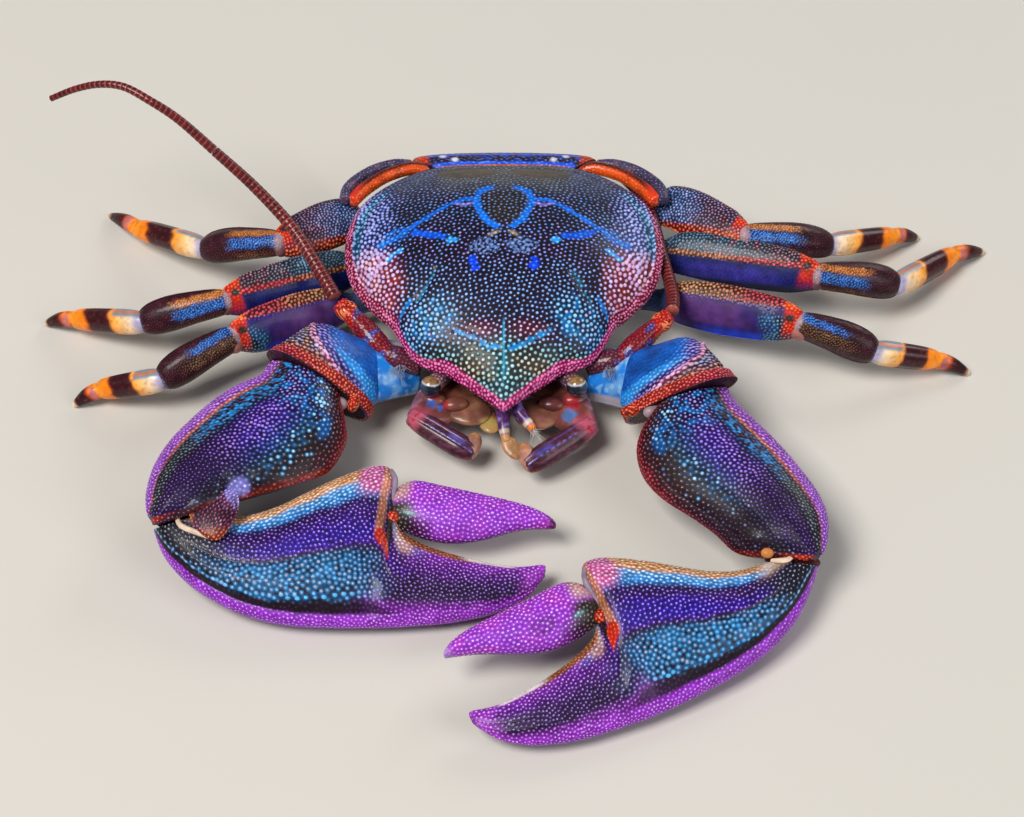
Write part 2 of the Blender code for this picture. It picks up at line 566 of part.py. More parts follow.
def feeler(name, points):
    # The whip of the antenna in two lengths that face each other
    line = smooth_line(points, 8)
    reach = [0.0]
    for a, b in zip(line, line[1:]):
        reach.append(reach[-1] + (b - a).length)
    whole = reach[-1]

    def at(distance):
        for i in range(len(line) - 1):
            if distance <= reach[i + 1]:
                share = (distance - reach[i]) / (reach[i + 1] - reach[i])
                return line[i].lerp(line[i + 1], share)
        return line[-1]

    split = whole * FEELER_SPLIT
    for part, begin, end in (("near", 0.0, split - HALF_GAP), ("far", split + HALF_GAP, whole)):
        distances = [begin + (end - begin) * i / FEELER_STEPS for i in range(FEELER_STEPS + 1)]
        curve = bpy.data.curves.new(f"feeler_{part}_{name}", "CURVE")
        curve.dimensions = "3D"
        curve.bevel_depth = MM
        curve.bevel_resolution = 2
        curve.use_fill_caps = True
        spline = curve.splines.new("POLY")
        spline.points.add(len(distances) - 1)
        for point, distance in zip(spline.points, distances):
            point.co = (*(at(distance) * MM), 1)
            point.radius = FEELER_ROOT + (FEELER_TIP - FEELER_ROOT) * distance / whole
        object_from(curve, f"feeler_{part}_{name}", "feeler")


def feeler_base(name, side):
    # The stout jointed foot of the antenna, beside the front of the shell; returns its grown copy
    route = on_side(side, *FEELER_BASES[name])
    base = bent_tube(f"feeler_base_{name}", route, FEELER_BASE_RADII, 10, "feeler")
    trim(base, trunk_cutter, shell_cutter)
    return bent_tube(f"feeler_cutter_{name}", route, FEELER_BASE_RADII, 10, None, grow=GAP)


def eye(name, side):
    # A short stalk under the shell's edge and a ball that bulges forwards
    inner, middle = on_side(side, EYESTALK_ROOT, EYE_PLACE)
    along = (middle - inner).normalized()
    stalk_form = [(share, radius, radius) for share, radius in EYESTALK_FORM]
    stalk = limb(f"eyestalk_{name}", inner, middle, (0, 0, 1), stalk_form, 10, "mouth_dark")
    bpy.ops.mesh.primitive_uv_sphere_add(segments=14, ring_count=9, radius=EYE_RADIUS * MM, location=middle * MM)
    ball = bpy.context.active_object
    ball.name = f"eye_{name}"
    ball.data.transform(ball.matrix_world)
    ball.matrix_world = Matrix.Identity(4)
    ball.parent = crab_frame
    for owner in list(ball.users_collection):
        owner.objects.unlink(ball)
    parts.objects.link(ball)
    ball.data.materials.append(material("eye"))
    ball.data.shade_smooth()
    meet(stalk, ball, middle - along * 0.45, along)
    trim(stalk, trunk_cutter, shell_cutter)
    trim(ball, shell_cutter)


def antennule(name, side):
    # The small inner feeler that hangs forwards from under the point of the shell
    whip = bent_tube(f"antennule_{name}", on_side(side, *ANTENNULES[name]), ANTENNULE_RADII, 8, "mouth_dark")
    trim(whip, trunk_cutter, shell_cutter)


def jaws():
    # The jaws between the outer mouth legs
    route = [(0, y, z) for y, z, half in JAWS]
    widths = [(i, half) for i, (y, z, half) in enumerate(JAWS)]
    trim(bent_tube("mouth", route, widths, 12, "mouth", 1, 0.0, JAWS_SQUASH), trunk_cutter)


def mouth_leg(name, side):
    # The outer mouth leg: a broad flat plate, then a stout bar turned inwards with its end folded back
    hinge, elbow, bend, end = on_side(side, MOUTH_LEG_HINGE, *MOUTH_LEGS[name])
    plate = limb(f"mouth_leg_plate_{name}", hinge, elbow, MOUTH_FACE, MOUTH_PLATE_FORM, 12, "mouth")
    bar = limb(f"mouth_leg_bar_{name}", elbow, bend, MOUTH_FACE, MOUTH_BAR_FORM, 12, "mouth_dark")
    meet(plate, bar, elbow, joint_normal(hinge, elbow, bend))
    fuse(bar, limb(f"mouth_hand_{name}", bend, end, MOUTH_FACE, MOUTH_HAND_FORM, 10, None))
    trim(plate, trunk_cutter)


def tail():
    # The broad tail: plates behind the shell, then folded forwards under the breast
    across = Vector((1, 0, 0))
    for name, (thick, path) in TAIL.items():
        line = smooth_line([(0, y, z) for y, z, half in path], 3)
        halves = [(i * 3, half) for i, (y, z, half) in enumerate(path)]
        rings = []
        for i, point in enumerate(line):
            along = (line[min(i + 1, len(line) - 1)] - line[max(i - 1, 0)]).normalized()
            rings.append(section(point, across, across.cross(along), between(halves, i), thick, thick, 16, 0.7))
        loft(name, rings, "tail")
    upper, lower, fan = (parts.objects[name] for name in TAIL)
    meet(upper, lower, *TAIL_FOLD)
    meet(lower, fan, *FAN_FOLD)
    trim(upper, shell_cutter, trunk_cutter)
    trim(lower, trunk_cutter)
    trim(fan, trunk_cutter)


clear_scene()
parts = make_collection("porcelain_crab")
cutters = make_collection("cutters")
crab_frame = bpy.data.objects.new("crab_frame", None)
parts.objects.link(crab_frame)
crab_frame.location = Vector(FRAME_PLACE) * MM

shell_cutter = shell("shell_cutter", None, GAP)
trunk_cutter = trunk("trunk_cutter", None, GAP)
shell("shell", "shell")
trunk("body", "flank")
tail()
jaws()
for side_name, side in (("left", 1), ("right", -1)):
    eye(side_name, side)
    antennule(side_name, side)
    mouth_leg(side_name, side)
    feeler(side_name, FEELERS[side_name])
    claw(side_name, CLAWS[side_name], feeler_base(side_name, side))
    legs_behind = []
    for number in (4, 3, 2):
        leg_name = f"leg_{number}_{side_name}"
        legs_behind += leg(leg_name, LEGS[leg_name], legs_behind)
    fifth_leg(side_name, side, legs_behind[0])
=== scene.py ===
import json
import math

import bpy
import numpy as np
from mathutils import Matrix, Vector, kdtree, noise
from mathutils.geometry import interpolate_bezier


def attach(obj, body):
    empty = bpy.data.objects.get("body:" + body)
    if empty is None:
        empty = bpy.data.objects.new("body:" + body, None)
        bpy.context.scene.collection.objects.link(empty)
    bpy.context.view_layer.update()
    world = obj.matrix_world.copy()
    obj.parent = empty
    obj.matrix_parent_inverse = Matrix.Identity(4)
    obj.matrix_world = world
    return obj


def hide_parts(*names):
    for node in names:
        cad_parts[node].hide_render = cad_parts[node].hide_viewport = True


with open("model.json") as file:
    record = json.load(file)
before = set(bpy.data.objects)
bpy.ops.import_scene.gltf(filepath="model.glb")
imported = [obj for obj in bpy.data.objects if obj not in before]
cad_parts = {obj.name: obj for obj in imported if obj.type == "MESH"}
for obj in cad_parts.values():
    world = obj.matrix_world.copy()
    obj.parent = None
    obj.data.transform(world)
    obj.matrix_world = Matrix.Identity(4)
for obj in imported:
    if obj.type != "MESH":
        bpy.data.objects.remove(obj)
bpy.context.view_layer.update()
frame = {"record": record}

mm = 0.001
place = np.array((-1.7, 14.1, 0.0))  # the crab's own middle in the frame, mm
slotOf = {part["node"]: part["material_slot"] for part in frame["record"]["subparts"]}
cameraTilt = 50.0  # degrees above the floor, as in the photo
lookWay = np.array((0, math.cos(math.radians(cameraTilt)), -math.sin(math.radians(cameraTilt))))


def curveOf(table):  # a smooth curve through pairs of place and value
    xs = np.array([pair[0] for pair in table], float)
    ys = np.array([pair[1] for pair in table], float)

    def read(at):
        at = np.clip(np.asarray(at, float), xs[0], xs[-1])
        i = np.clip(np.searchsorted(xs, at) - 1, 0, len(xs) - 2)
        before, after = np.maximum(i - 1, 0), np.minimum(i + 2, len(xs) - 1)
        slope0 = (ys[i + 1] - ys[before]) / (xs[i + 1] - xs[before])
        slope1 = (ys[after] - ys[i]) / (xs[after] - xs[i])
        span = xs[i + 1] - xs[i]
        t = (at - xs[i]) / span
        return ((2 * t**3 - 3 * t**2 + 1) * ys[i] + (t**3 - 2 * t**2 + t) * span * slope0
                + (3 * t**2 - 2 * t**3) * ys[i + 1] + (t**3 - t**2) * span * slope1)

    return read


def smoothLine(points, perSpan):  # a rounded line through points
    points = [Vector(p) for p in points]
    line = []
    for i in range(len(points) - 1):
        before = points[max(i - 1, 0)]
        after = points[min(i + 2, len(points) - 1)]
        reach0 = (points[i + 1] - before) / (6 if i else 3)
        reach1 = (after - points[i]) / (6 if i + 2 < len(points) else 3)
        line += interpolate_bezier(points[i], points[i] + reach0, points[i + 1] - reach1, points[i + 1],
                                   perSpan + 1)[:-1]
    return np.array(line + [points[-1]])


def unit(v):
    v = np.asarray(v, float)
    return v / np.linalg.norm(v)


def ease(x, low, high):  # 0 below low, 1 above high, smooth between
    t = np.clip((np.asarray(x, float) - low) / (high - low), 0, 1)
    return t * t * (3 - 2 * t)


def humpAt(x, middle, half):  # 1 in the middle, 0 past half the width
    return 1 - ease(np.abs(np.asarray(x) - middle), half * 0.4, half)


def blob(x, y, cx, cy, sx, sy, turn=0.0):
    c, s = math.cos(math.radians(turn)), math.sin(math.radians(turn))
    dx, dy = (x - cx) * c + (y - cy) * s, -(x - cx) * s + (y - cy) * c
    return np.exp(-(dx / sx) ** 2 - (dy / sy) ** 2)


def strokeDistance(x, y, points):
    best = np.full(len(x), 1e9)
    for (x0, y0), (x1, y1) in zip(points, points[1:]):
        dx, dy = x1 - x0, y1 - y0
        t = np.clip(((x - x0) * dx + (y - y0) * dy) / (dx * dx + dy * dy), 0, 1)
        best = np.minimum(best, np.hypot(x - x0 - t * dx, y - y0 - t * dy))
    return best


def wander(points, scale, seed=0.0):  # smooth noise from -1 to 1 at each point
    places = points * (1.0 / scale) + seed * 17.3
    return np.array([noise.noise(p) for p in places.tolist()])


def paint(code):
    values = [int(code[i:i + 2], 16) / 255 for i in (1, 3, 5)]
    return np.array([v / 12.92 if v <= 0.04045 else ((v + 0.055) / 1.055) ** 2.4 for v in values])


def bandPaint(at, bands):  # bands: place, paint name pairs, blended along at
    stops = [b[0] for b in bands]
    tints = np.array([paint(b[1]) for b in bands])
    return np.stack([np.interp(at, stops, tints[:, i]) for i in range(3)], 1)


def wash(target, mask, code):
    mask = np.clip(mask, 0, 1)[:, None]
    target[:] = target * (1 - mask) + paint(code) * mask


def flatCoats(count, *codes):  # paints between, round and on the beads; a bare piece has only the first
    return [np.tile(paint(code), (count, 1)) for code in codes]


def bandCoats(at, bands):
    return [bandPaint(at, [(band[0], band[k]) for band in bands]) for k in (1, 2, 3)]


def brush(coats, mask, *codes):
    for target, code in zip(coats, codes):
        if code:
            wash(target, mask, code)


def lay(piece, coats, grains=None, low=0.18, high=0.46):
    ground = coats[0]
    if grains:
        near = (1 - ease(grains["far"], low, high))[:, None]
        ground = ground * (1 - near) + coats[1] * near
    else:
        putShare(piece, "bead", np.zeros(len(ground)))
        putShare(piece, "tone", np.zeros(len(ground)))
    putTint(piece, "ground", ground)
    putTint(piece, "grain", coats[-1])


def cage(name, rings):
    # one circle, extruded once for each ring, and every ring set in its place
    rings = np.asarray(rings, float)
    bpy.ops.object.select_all(action="DESELECT")
    bpy.ops.mesh.primitive_circle_add(vertices=rings.shape[1], radius=1, fill_type="NGON")
    piece = bpy.context.object
    piece.name = name
    bpy.ops.object.mode_set(mode="EDIT")
    for _ in rings[1:]:
        bpy.ops.mesh.extrude_region_move(TRANSFORM_OT_translate={"value": (0, 0, 1)})
    bpy.ops.object.mode_set(mode="OBJECT")
    putPoints(piece, rings.reshape(-1, 3))
    bpy.ops.object.mode_set(mode="EDIT")
    bpy.ops.mesh.select_all(action="SELECT")
    bpy.ops.mesh.normals_make_consistent(inside=False)
    bpy.ops.object.mode_set(mode="OBJECT")
    return piece


def smoothOut(piece, levels):
    sub = piece.modifiers.new("smooth", "SUBSURF")
    sub.levels = levels
    sub.render_levels = levels
    bpy.context.view_layer.objects.active = piece
    bpy.ops.object.modifier_apply(modifier=sub.name)
    bpy.ops.object.shade_smooth()
    return piece


def readLayer(values, title):
    flat = np.empty(len(values) * 3)
    values.foreach_get(title, flat)
    return flat.reshape(-1, 3)


def readPoints(piece):  # in mm, from the crab's own middle
    return readLayer(piece.data.vertices, "co") / mm - place


def readNormals(piece):
    return readLayer(piece.data.vertex_normals, "vector")


def putPoints(piece, points):
    piece.data.vertices.foreach_set("co", ((points + place) * mm).ravel())
    piece.data.update()


def layerOf(piece, name, kind):
    return (piece.data.attributes.get(name) or piece.data.attributes.new(name, kind, "POINT")).data


def putTint(piece, name, tints):
    whole = np.hstack([np.clip(tints, 0, 1), np.ones((len(tints), 1))])
    layerOf(piece, name, "FLOAT_COLOR").foreach_set("color", whole.ravel())


def putShare(piece, name, values):
    layerOf(piece, name, "FLOAT").foreach_set("value", np.asarray(values, float))


def treeOf(points):
    tree = kdtree.KDTree(len(points))
    for i, p in enumerate(points.tolist()):
        tree.insert(p, i)
    tree.balance()
    return tree


grainFacts = dict(apart=0.8, evenings=2, smallest=0.75, varies=0.5, bigFrom=0.85, leastSize=0.02,
                  rise=(0.3, 0.95))


def addGrains(piece, gap, size, lift, seed, lie=None, stretch=None, where=None, big=0.0):
    # evenly spread beads; gives each point's distance from its bead, in gaps, and a chance number per bead
    facts = grainFacts
    points, normals = readPoints(piece), readNormals(piece)
    count = len(points)
    gap, size, lift, big = (np.broadcast_to(np.asarray(v, float), count) for v in (gap, size, lift, big))
    tree = treeOf(points)
    draw = np.random.default_rng(seed)
    covered = np.zeros(count, bool) if where is None else ~where
    middles = []
    byPlace = np.lexsort(np.round(points, 4).T)  # Blender numbers the points anew on each run
    for i in byPlace[draw.permutation(count)].tolist():
        if not covered[i]:
            middles.append(points[i])
            for found in tree.find_range(points[i], gap[i] * facts["apart"]):
                covered[found[1]] = True
    middles = np.array(middles)
    for turn in range(facts["evenings"] + 1):  # rounds that even the spread out, and a last reading
        tree = treeOf(middles)
        owner = np.array([tree.find(p)[1] for p in points.tolist()])
        if turn < facts["evenings"]:
            held = np.bincount(owner, minlength=len(middles))[:, None]
            sums = np.stack([np.bincount(owner, points[:, k], len(middles)) for k in range(3)], 1)
            middles = np.where(held > 0, sums / np.maximum(held, 1), middles)
    step = points - middles[owner]
    apart = (step**2).sum(1)
    deep = np.full(len(middles), np.inf)
    np.minimum.at(deep, owner, apart)
    apart = np.maximum(apart - deep[owner], 0)
    if lie is not None:  # beads drawn out along this direction
        alongLie = (step * lie).sum(1) ** 2
        apart = np.maximum(apart - alongLie, 0) + alongLie / stretch**2
    apart = np.sqrt(apart)
    chance = draw.random((3, len(middles)))
    reach = np.maximum(size, 0.001) * (facts["smallest"] + facts["varies"] * chance[0][owner])
    reach = reach * (1 + big * (chance[2][owner] > facts["bigFrom"]))
    bead = np.clip(1 - apart / (reach * 2), 0, 1) * (size > facts["leastSize"])  # 0.5 at the bead's edge
    if where is not None:
        bead = bead * where
    putPoints(piece, points + normals * (lift * ease(bead, *facts["rise"]))[:, None])
    putShare(piece, "bead", bead)
    putShare(piece, "tone", chance[1][owner])
    return dict(far=apart / gap, chance=chance[2][owner], count=len(middles))


def section(centre, wide, tall, halfWide, up, down, angles, edge=1.0):
    across, height = np.cos(angles), np.sin(angles)
    lift = np.where(height > 0, up, -down) * np.abs(height) ** edge
    return centre + np.outer(across * halfWide, wide) + np.outer(lift, tall)


def roundAngles(sides):
    return np.arange(sides) * 2 * math.pi / sides


def topAngles(top, bottom):  # more of the ring's points on its upper half
    return np.concatenate([np.arange(top) * math.pi / top, math.pi + np.arange(bottom) * math.pi / bottom])


def limbFrame(start, end, face):
    along = unit(np.subtract(end, start))
    tall = np.asarray(face, float)
    tall = unit(tall - along * tall.dot(along))
    return along, np.cross(along, tall), tall


def done(piece, node):
    piece.data.materials.clear()
    piece.data.materials.append(materials[slotOf[node]])
    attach(piece, "root")
    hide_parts(node)


def wetShell(name, facts):
    # ground and grain paints from the piece, mixed by its beads, with fine mottling, gloss and pits
    made = bpy.data.materials.new(name)
    made.use_nodes = True
    tree = made.node_tree
    tree.nodes.clear()
    new, link = tree.nodes.new, tree.links.new
    out = new("ShaderNodeOutputMaterial")
    shader = new("ShaderNodeBsdfPrincipled")
    link(shader.outputs[0], out.inputs[0])
    coords = new("ShaderNodeTexCoord")

    def grainOf(scale, detail):
        spots = new("ShaderNodeTexNoise")
        spots.inputs["Scale"].default_value = scale
        spots.inputs["Detail"].default_value = detail
        link(coords.outputs["Object"], spots.inputs["Vector"])
        return spots.outputs["Fac"]

    def rampOf(source, low, high, dark, light):
        ramp = new("ShaderNodeMapRange")
        ramp.inputs["From Min"].default_value = low
        ramp.inputs["From Max"].default_value = high
        ramp.inputs["To Min"].default_value = dark
        ramp.inputs["To Max"].default_value = light
        link(source, ramp.inputs["Value"])
        return ramp.outputs[0]

    def attribute(title):
        node = new("ShaderNodeAttribute")
        node.attribute_name = title
        return node

    def lightened(source, amount):
        changed = new("ShaderNodeHueSaturation")
        link(source, changed.inputs["Color"])
        link(amount, changed.inputs["Value"])
        return changed.outputs[0]

    bead = attribute("bead").outputs["Fac"]
    mottle = rampOf(grainOf(facts["mottle"], 4), 0.3, 0.7, facts["dark"], facts["light"])
    ground = lightened(attribute("ground").outputs["Color"], mottle)
    grain = lightened(attribute("grain").outputs["Color"],
                      rampOf(attribute("tone").outputs["Fac"], 0, 1, facts["beadDark"], facts["beadLight"]))
    # each bead is lighter towards its centre: partly the beads' own paler tips, partly a painted highlight
    grain = lightened(grain, rampOf(bead, 0.5, 0.9, 0.85, 1.15))
    mixer = new("ShaderNodeMix")
    mixer.data_type = "RGBA"
    link(rampOf(bead, facts["beadLow"], facts["beadHigh"], 0, 1), mixer.inputs["Factor"])
    link(ground, mixer.inputs["A"])
    link(grain, mixer.inputs["B"])
    link(mixer.outputs["Result"], shader.inputs["Base Color"])
    link(rampOf(grainOf(facts["mottle"] * 2.5, 3), 0.3, 0.7, facts["rough"][0], facts["rough"][1]),
         shader.inputs["Roughness"])
    bump = new("ShaderNodeBump")
    bump.inputs["Strength"].default_value = facts["bump"]
    bump.inputs["Distance"].default_value = facts["bumpDepth"] * mm
    link(grainOf(facts["fine"], 3), bump.inputs["Height"])
    link(bump.outputs[0], shader.inputs["Normal"])
    shader.inputs["Metallic"].default_value = 0.0
    shader.inputs["Specular IOR Level"].default_value = facts["specular"]
    shader.inputs["Coat Weight"].default_value = facts["coat"]
    shader.inputs["Coat Roughness"].default_value = 0.12
    shader.inputs["Subsurface Weight"].default_value = facts["under"]
    if facts["under"]:
        shader.inputs["Subsurface Radius"].default_value = (0.9, 0.35, 0.2)
        shader.inputs["Subsurface Scale"].default_value = facts["underDepth"] * mm
    return made


beadedGloss = dict(mottle=900, dark=0.7, light=1.3, beadDark=0.7, beadLight=1.15, beadLow=0.4, beadHigh=0.6,
                   rough=(0.32, 0.5), bump=0.25, bumpDepth=0.05, fine=9000, coat=0.12,
                   specular=0.2, under=0.0)
smoothGloss = dict(beadedGloss, mottle=500, dark=0.82, light=1.18, rough=(0.24, 0.38), bump=0.15, coat=0.3)
softSkin = dict(smoothGloss, mottle=700, dark=0.7, light=1.3, under=0.25, underDepth=0.6)
materials = {  # one for each slot
    "shell": wetShell("shellBeads", beadedGloss),
    "claw": wetShell("clawBeads", beadedGloss),
    "finger": wetShell("fingerBeads", dict(beadedGloss, dark=0.85, light=1.15, rough=(0.28, 0.42))),
    "flank": wetShell("flankGloss", dict(smoothGloss, under=0.1, underDepth=0.5)),
    "leg_blue": wetShell("legGrains", dict(beadedGloss, mottle=1100)),
    "leg_dark": wetShell("legDark", dict(beadedGloss, mottle=1300, dark=0.6, light=1.3)),
    "banded": wetShell("legBands", dict(smoothGloss, mottle=900)),
    "feeler": wetShell("feelerRings", dict(smoothGloss, mottle=1500, dark=0.7, light=1.3)),
    "mouth": wetShell("mouthSkin", dict(softSkin, under=0.4)),
    "mouth_dark": wetShell("mouthBars", softSkin),
    "eye": wetShell("eyeGloss", dict(smoothGloss, rough=(0.05, 0.1), coat=0.8, bump=0.0)),
    "orange": wetShell("orangeLeg", smoothGloss),
    "tail": wetShell("tailGloss", beadedGloss),
}


shellFacts = dict(
    rim=7.8, slope=0.085, dome=4.9, cells=285,
    outline=((0.0, -15.3), (2.2, -13.6), (4.0, -12.2), (5.6, -11.0), (7.2, -10.4), (8.3, -9.8), (9.3, -8.6),
             (10.2, -7.0), (11.0, -5.5), (12.6, -3.9), (14.4, -1.6), (15.5, 0.9), (16.0, 4.0), (15.7, 7.2),
             (14.4, 10.3), (11.8, 12.9), (8.2, 14.9), (4.2, 15.5), (0.0, 15.5)),
    horseshoe=((1.3, 9.7), (2.4, 9.0), (2.9, 7.7), (2.6, 6.3), (2.2, 5.2), (1.7, 4.2), (0.8, 3.4)),
    arc=((2.9, 7.7), (4.3, 7.6), (5.6, 7.0), (6.9, 6.0), (8.1, 5.0), (9.4, 4.1), (10.9, 3.1), (12.2, 2.7)),
    crescent=((3.2, 7.0), (4.0, 6.7), (4.8, 7.1)),
    patch=((8.8, 3.3), (7.2, 2.6), (6.0, 2.3)),
    patchEnd=((5.4, 1.8), (4.9, 1.7)),
    oblique=((10.2, 1.4), (11.4, 0.7)),
    bar=((3.05, -0.9), (2.9, -2.0)),
    groove=((6.8, -1.9), (7.5, -3.3), (8.4, -4.6)),
    under=((0.6, -10.1), (1.4, -10.0), (2.2, -9.5), (3.9, -8.6), (4.6, -8.2)),
    side=((9.2, -4.4), (10.2, -5.6)),
    rimWidth=((-15.5, 0.7), (-10.2, 0.65), (-9.6, 0.4), (-6.4, 0.35), (-5.4, 0.6), (-3.0, 0.75), (4.0, 0.8),
              (7.0, 0.7), (9.5, 0.3), (11.0, 0.0), (16.0, 0.0)),
    oval=(15.8, 14.6), domeFall=2.3, domeRound=0.85,
    swellings=((0.16, 2.3, -8.4, 1.9, 1.0), (0.22, 9.6, 1.5, 3.5, 4.0), (0.12, 4.2, -3.0, 2.4, 3.2)),
    hollows=(("groove", 0.20, 0.05, 0.7), ("horseshoe", 0.10, 0.1, 0.7), ("under", 0.10, 0.05, 0.6)),
    rolledEdge=((0.997, -0.14), (0.995, -0.18), (0.985, -0.14), (0.90, -0.04)),
)


def shellReach(angle):
    facts = shellFacts
    half = smoothLine([(x, y, 0) for x, y in facts["outline"]], 8)[:, :2]
    turn = np.arctan2(half[:, 0], -half[:, 1])
    order = np.argsort(turn)
    return np.interp(np.abs(angle), turn[order], np.hypot(half[:, 0], half[:, 1])[order])


def shellHeight(x, y, share):
    facts = shellFacts
    dome = (1 - np.clip(share, 0, 1) ** facts["domeFall"]) ** facts["domeRound"]
    return facts["rim"] + facts["slope"] * y + facts["dome"] * dome


def rimShare(fromRim, y):  # 1 on the raised rim
    return 1 - ease(fromRim / np.maximum(curveOf(shellFacts["rimWidth"])(y), 0.02), 0.85, 1.1)


def shapeShell():
    facts = shellFacts
    bpy.ops.object.select_all(action="DESELECT")
    bpy.ops.mesh.primitive_grid_add(x_subdivisions=facts["cells"], y_subdivisions=facts["cells"], size=2)
    piece = bpy.context.object
    piece.name = "shellTop"
    # a square grid, rounded to a disc and then to the outline
    u, v = readLayer(piece.data.vertices, "co")[:, :2].T
    discX, discY = u * np.sqrt(1 - v * v / 2), v * np.sqrt(1 - u * u / 2)
    share, angle = np.hypot(discX, discY), np.arctan2(discX, -discY)
    oval = 1 / np.hypot(np.sin(angle) / facts["oval"][0], np.cos(angle) / facts["oval"][1])
    edge = shellReach(angle)
    outer = share**3
    reach = share * (oval * (1 - outer) + edge * outer)
    x, y = reach * np.sin(angle), -reach * np.cos(angle)
    z = shellHeight(x, y, share)
    side, fromRim = np.abs(x), (1 - share) * edge
    for high, *spot in facts["swellings"]:
        z += high * blob(side, y, *spot)
    for title, deep, near, far in facts["hollows"]:
        z -= deep * (1 - ease(strokeDistance(side, y, facts[title]), near, far))
    z -= 0.22 * np.exp(-(x / 0.55) ** 2) * ease(-y, 9.0, 12.5) * (1 - ease(-y, 14.2, 15.2))
    z += 0.10 * rimShare(fromRim, y) - 0.10 * humpAt(fromRim, 1.05, 0.4)
    putPoints(piece, np.stack([x, y, z], 1))

    # rolled edge and flat underside, extruded from the border
    bpy.ops.object.mode_set(mode="EDIT")
    bpy.ops.mesh.select_mode(type="EDGE")
    bpy.ops.mesh.select_all(action="DESELECT")
    bpy.ops.mesh.select_non_manifold()
    for inward, down in facts["rolledEdge"]:
        bpy.ops.mesh.extrude_region_move(TRANSFORM_OT_translate={"value": (0, 0, down * mm)})
        bpy.ops.transform.resize(value=(inward, inward, 1), center_override=(place[0] * mm, place[1] * mm, 0))
    bpy.ops.mesh.fill()
    bpy.ops.mesh.select_all(action="SELECT")
    bpy.ops.mesh.normals_make_consistent(inside=False)
    bpy.ops.object.mode_set(mode="OBJECT")
    bpy.ops.object.shade_smooth()
    return piece


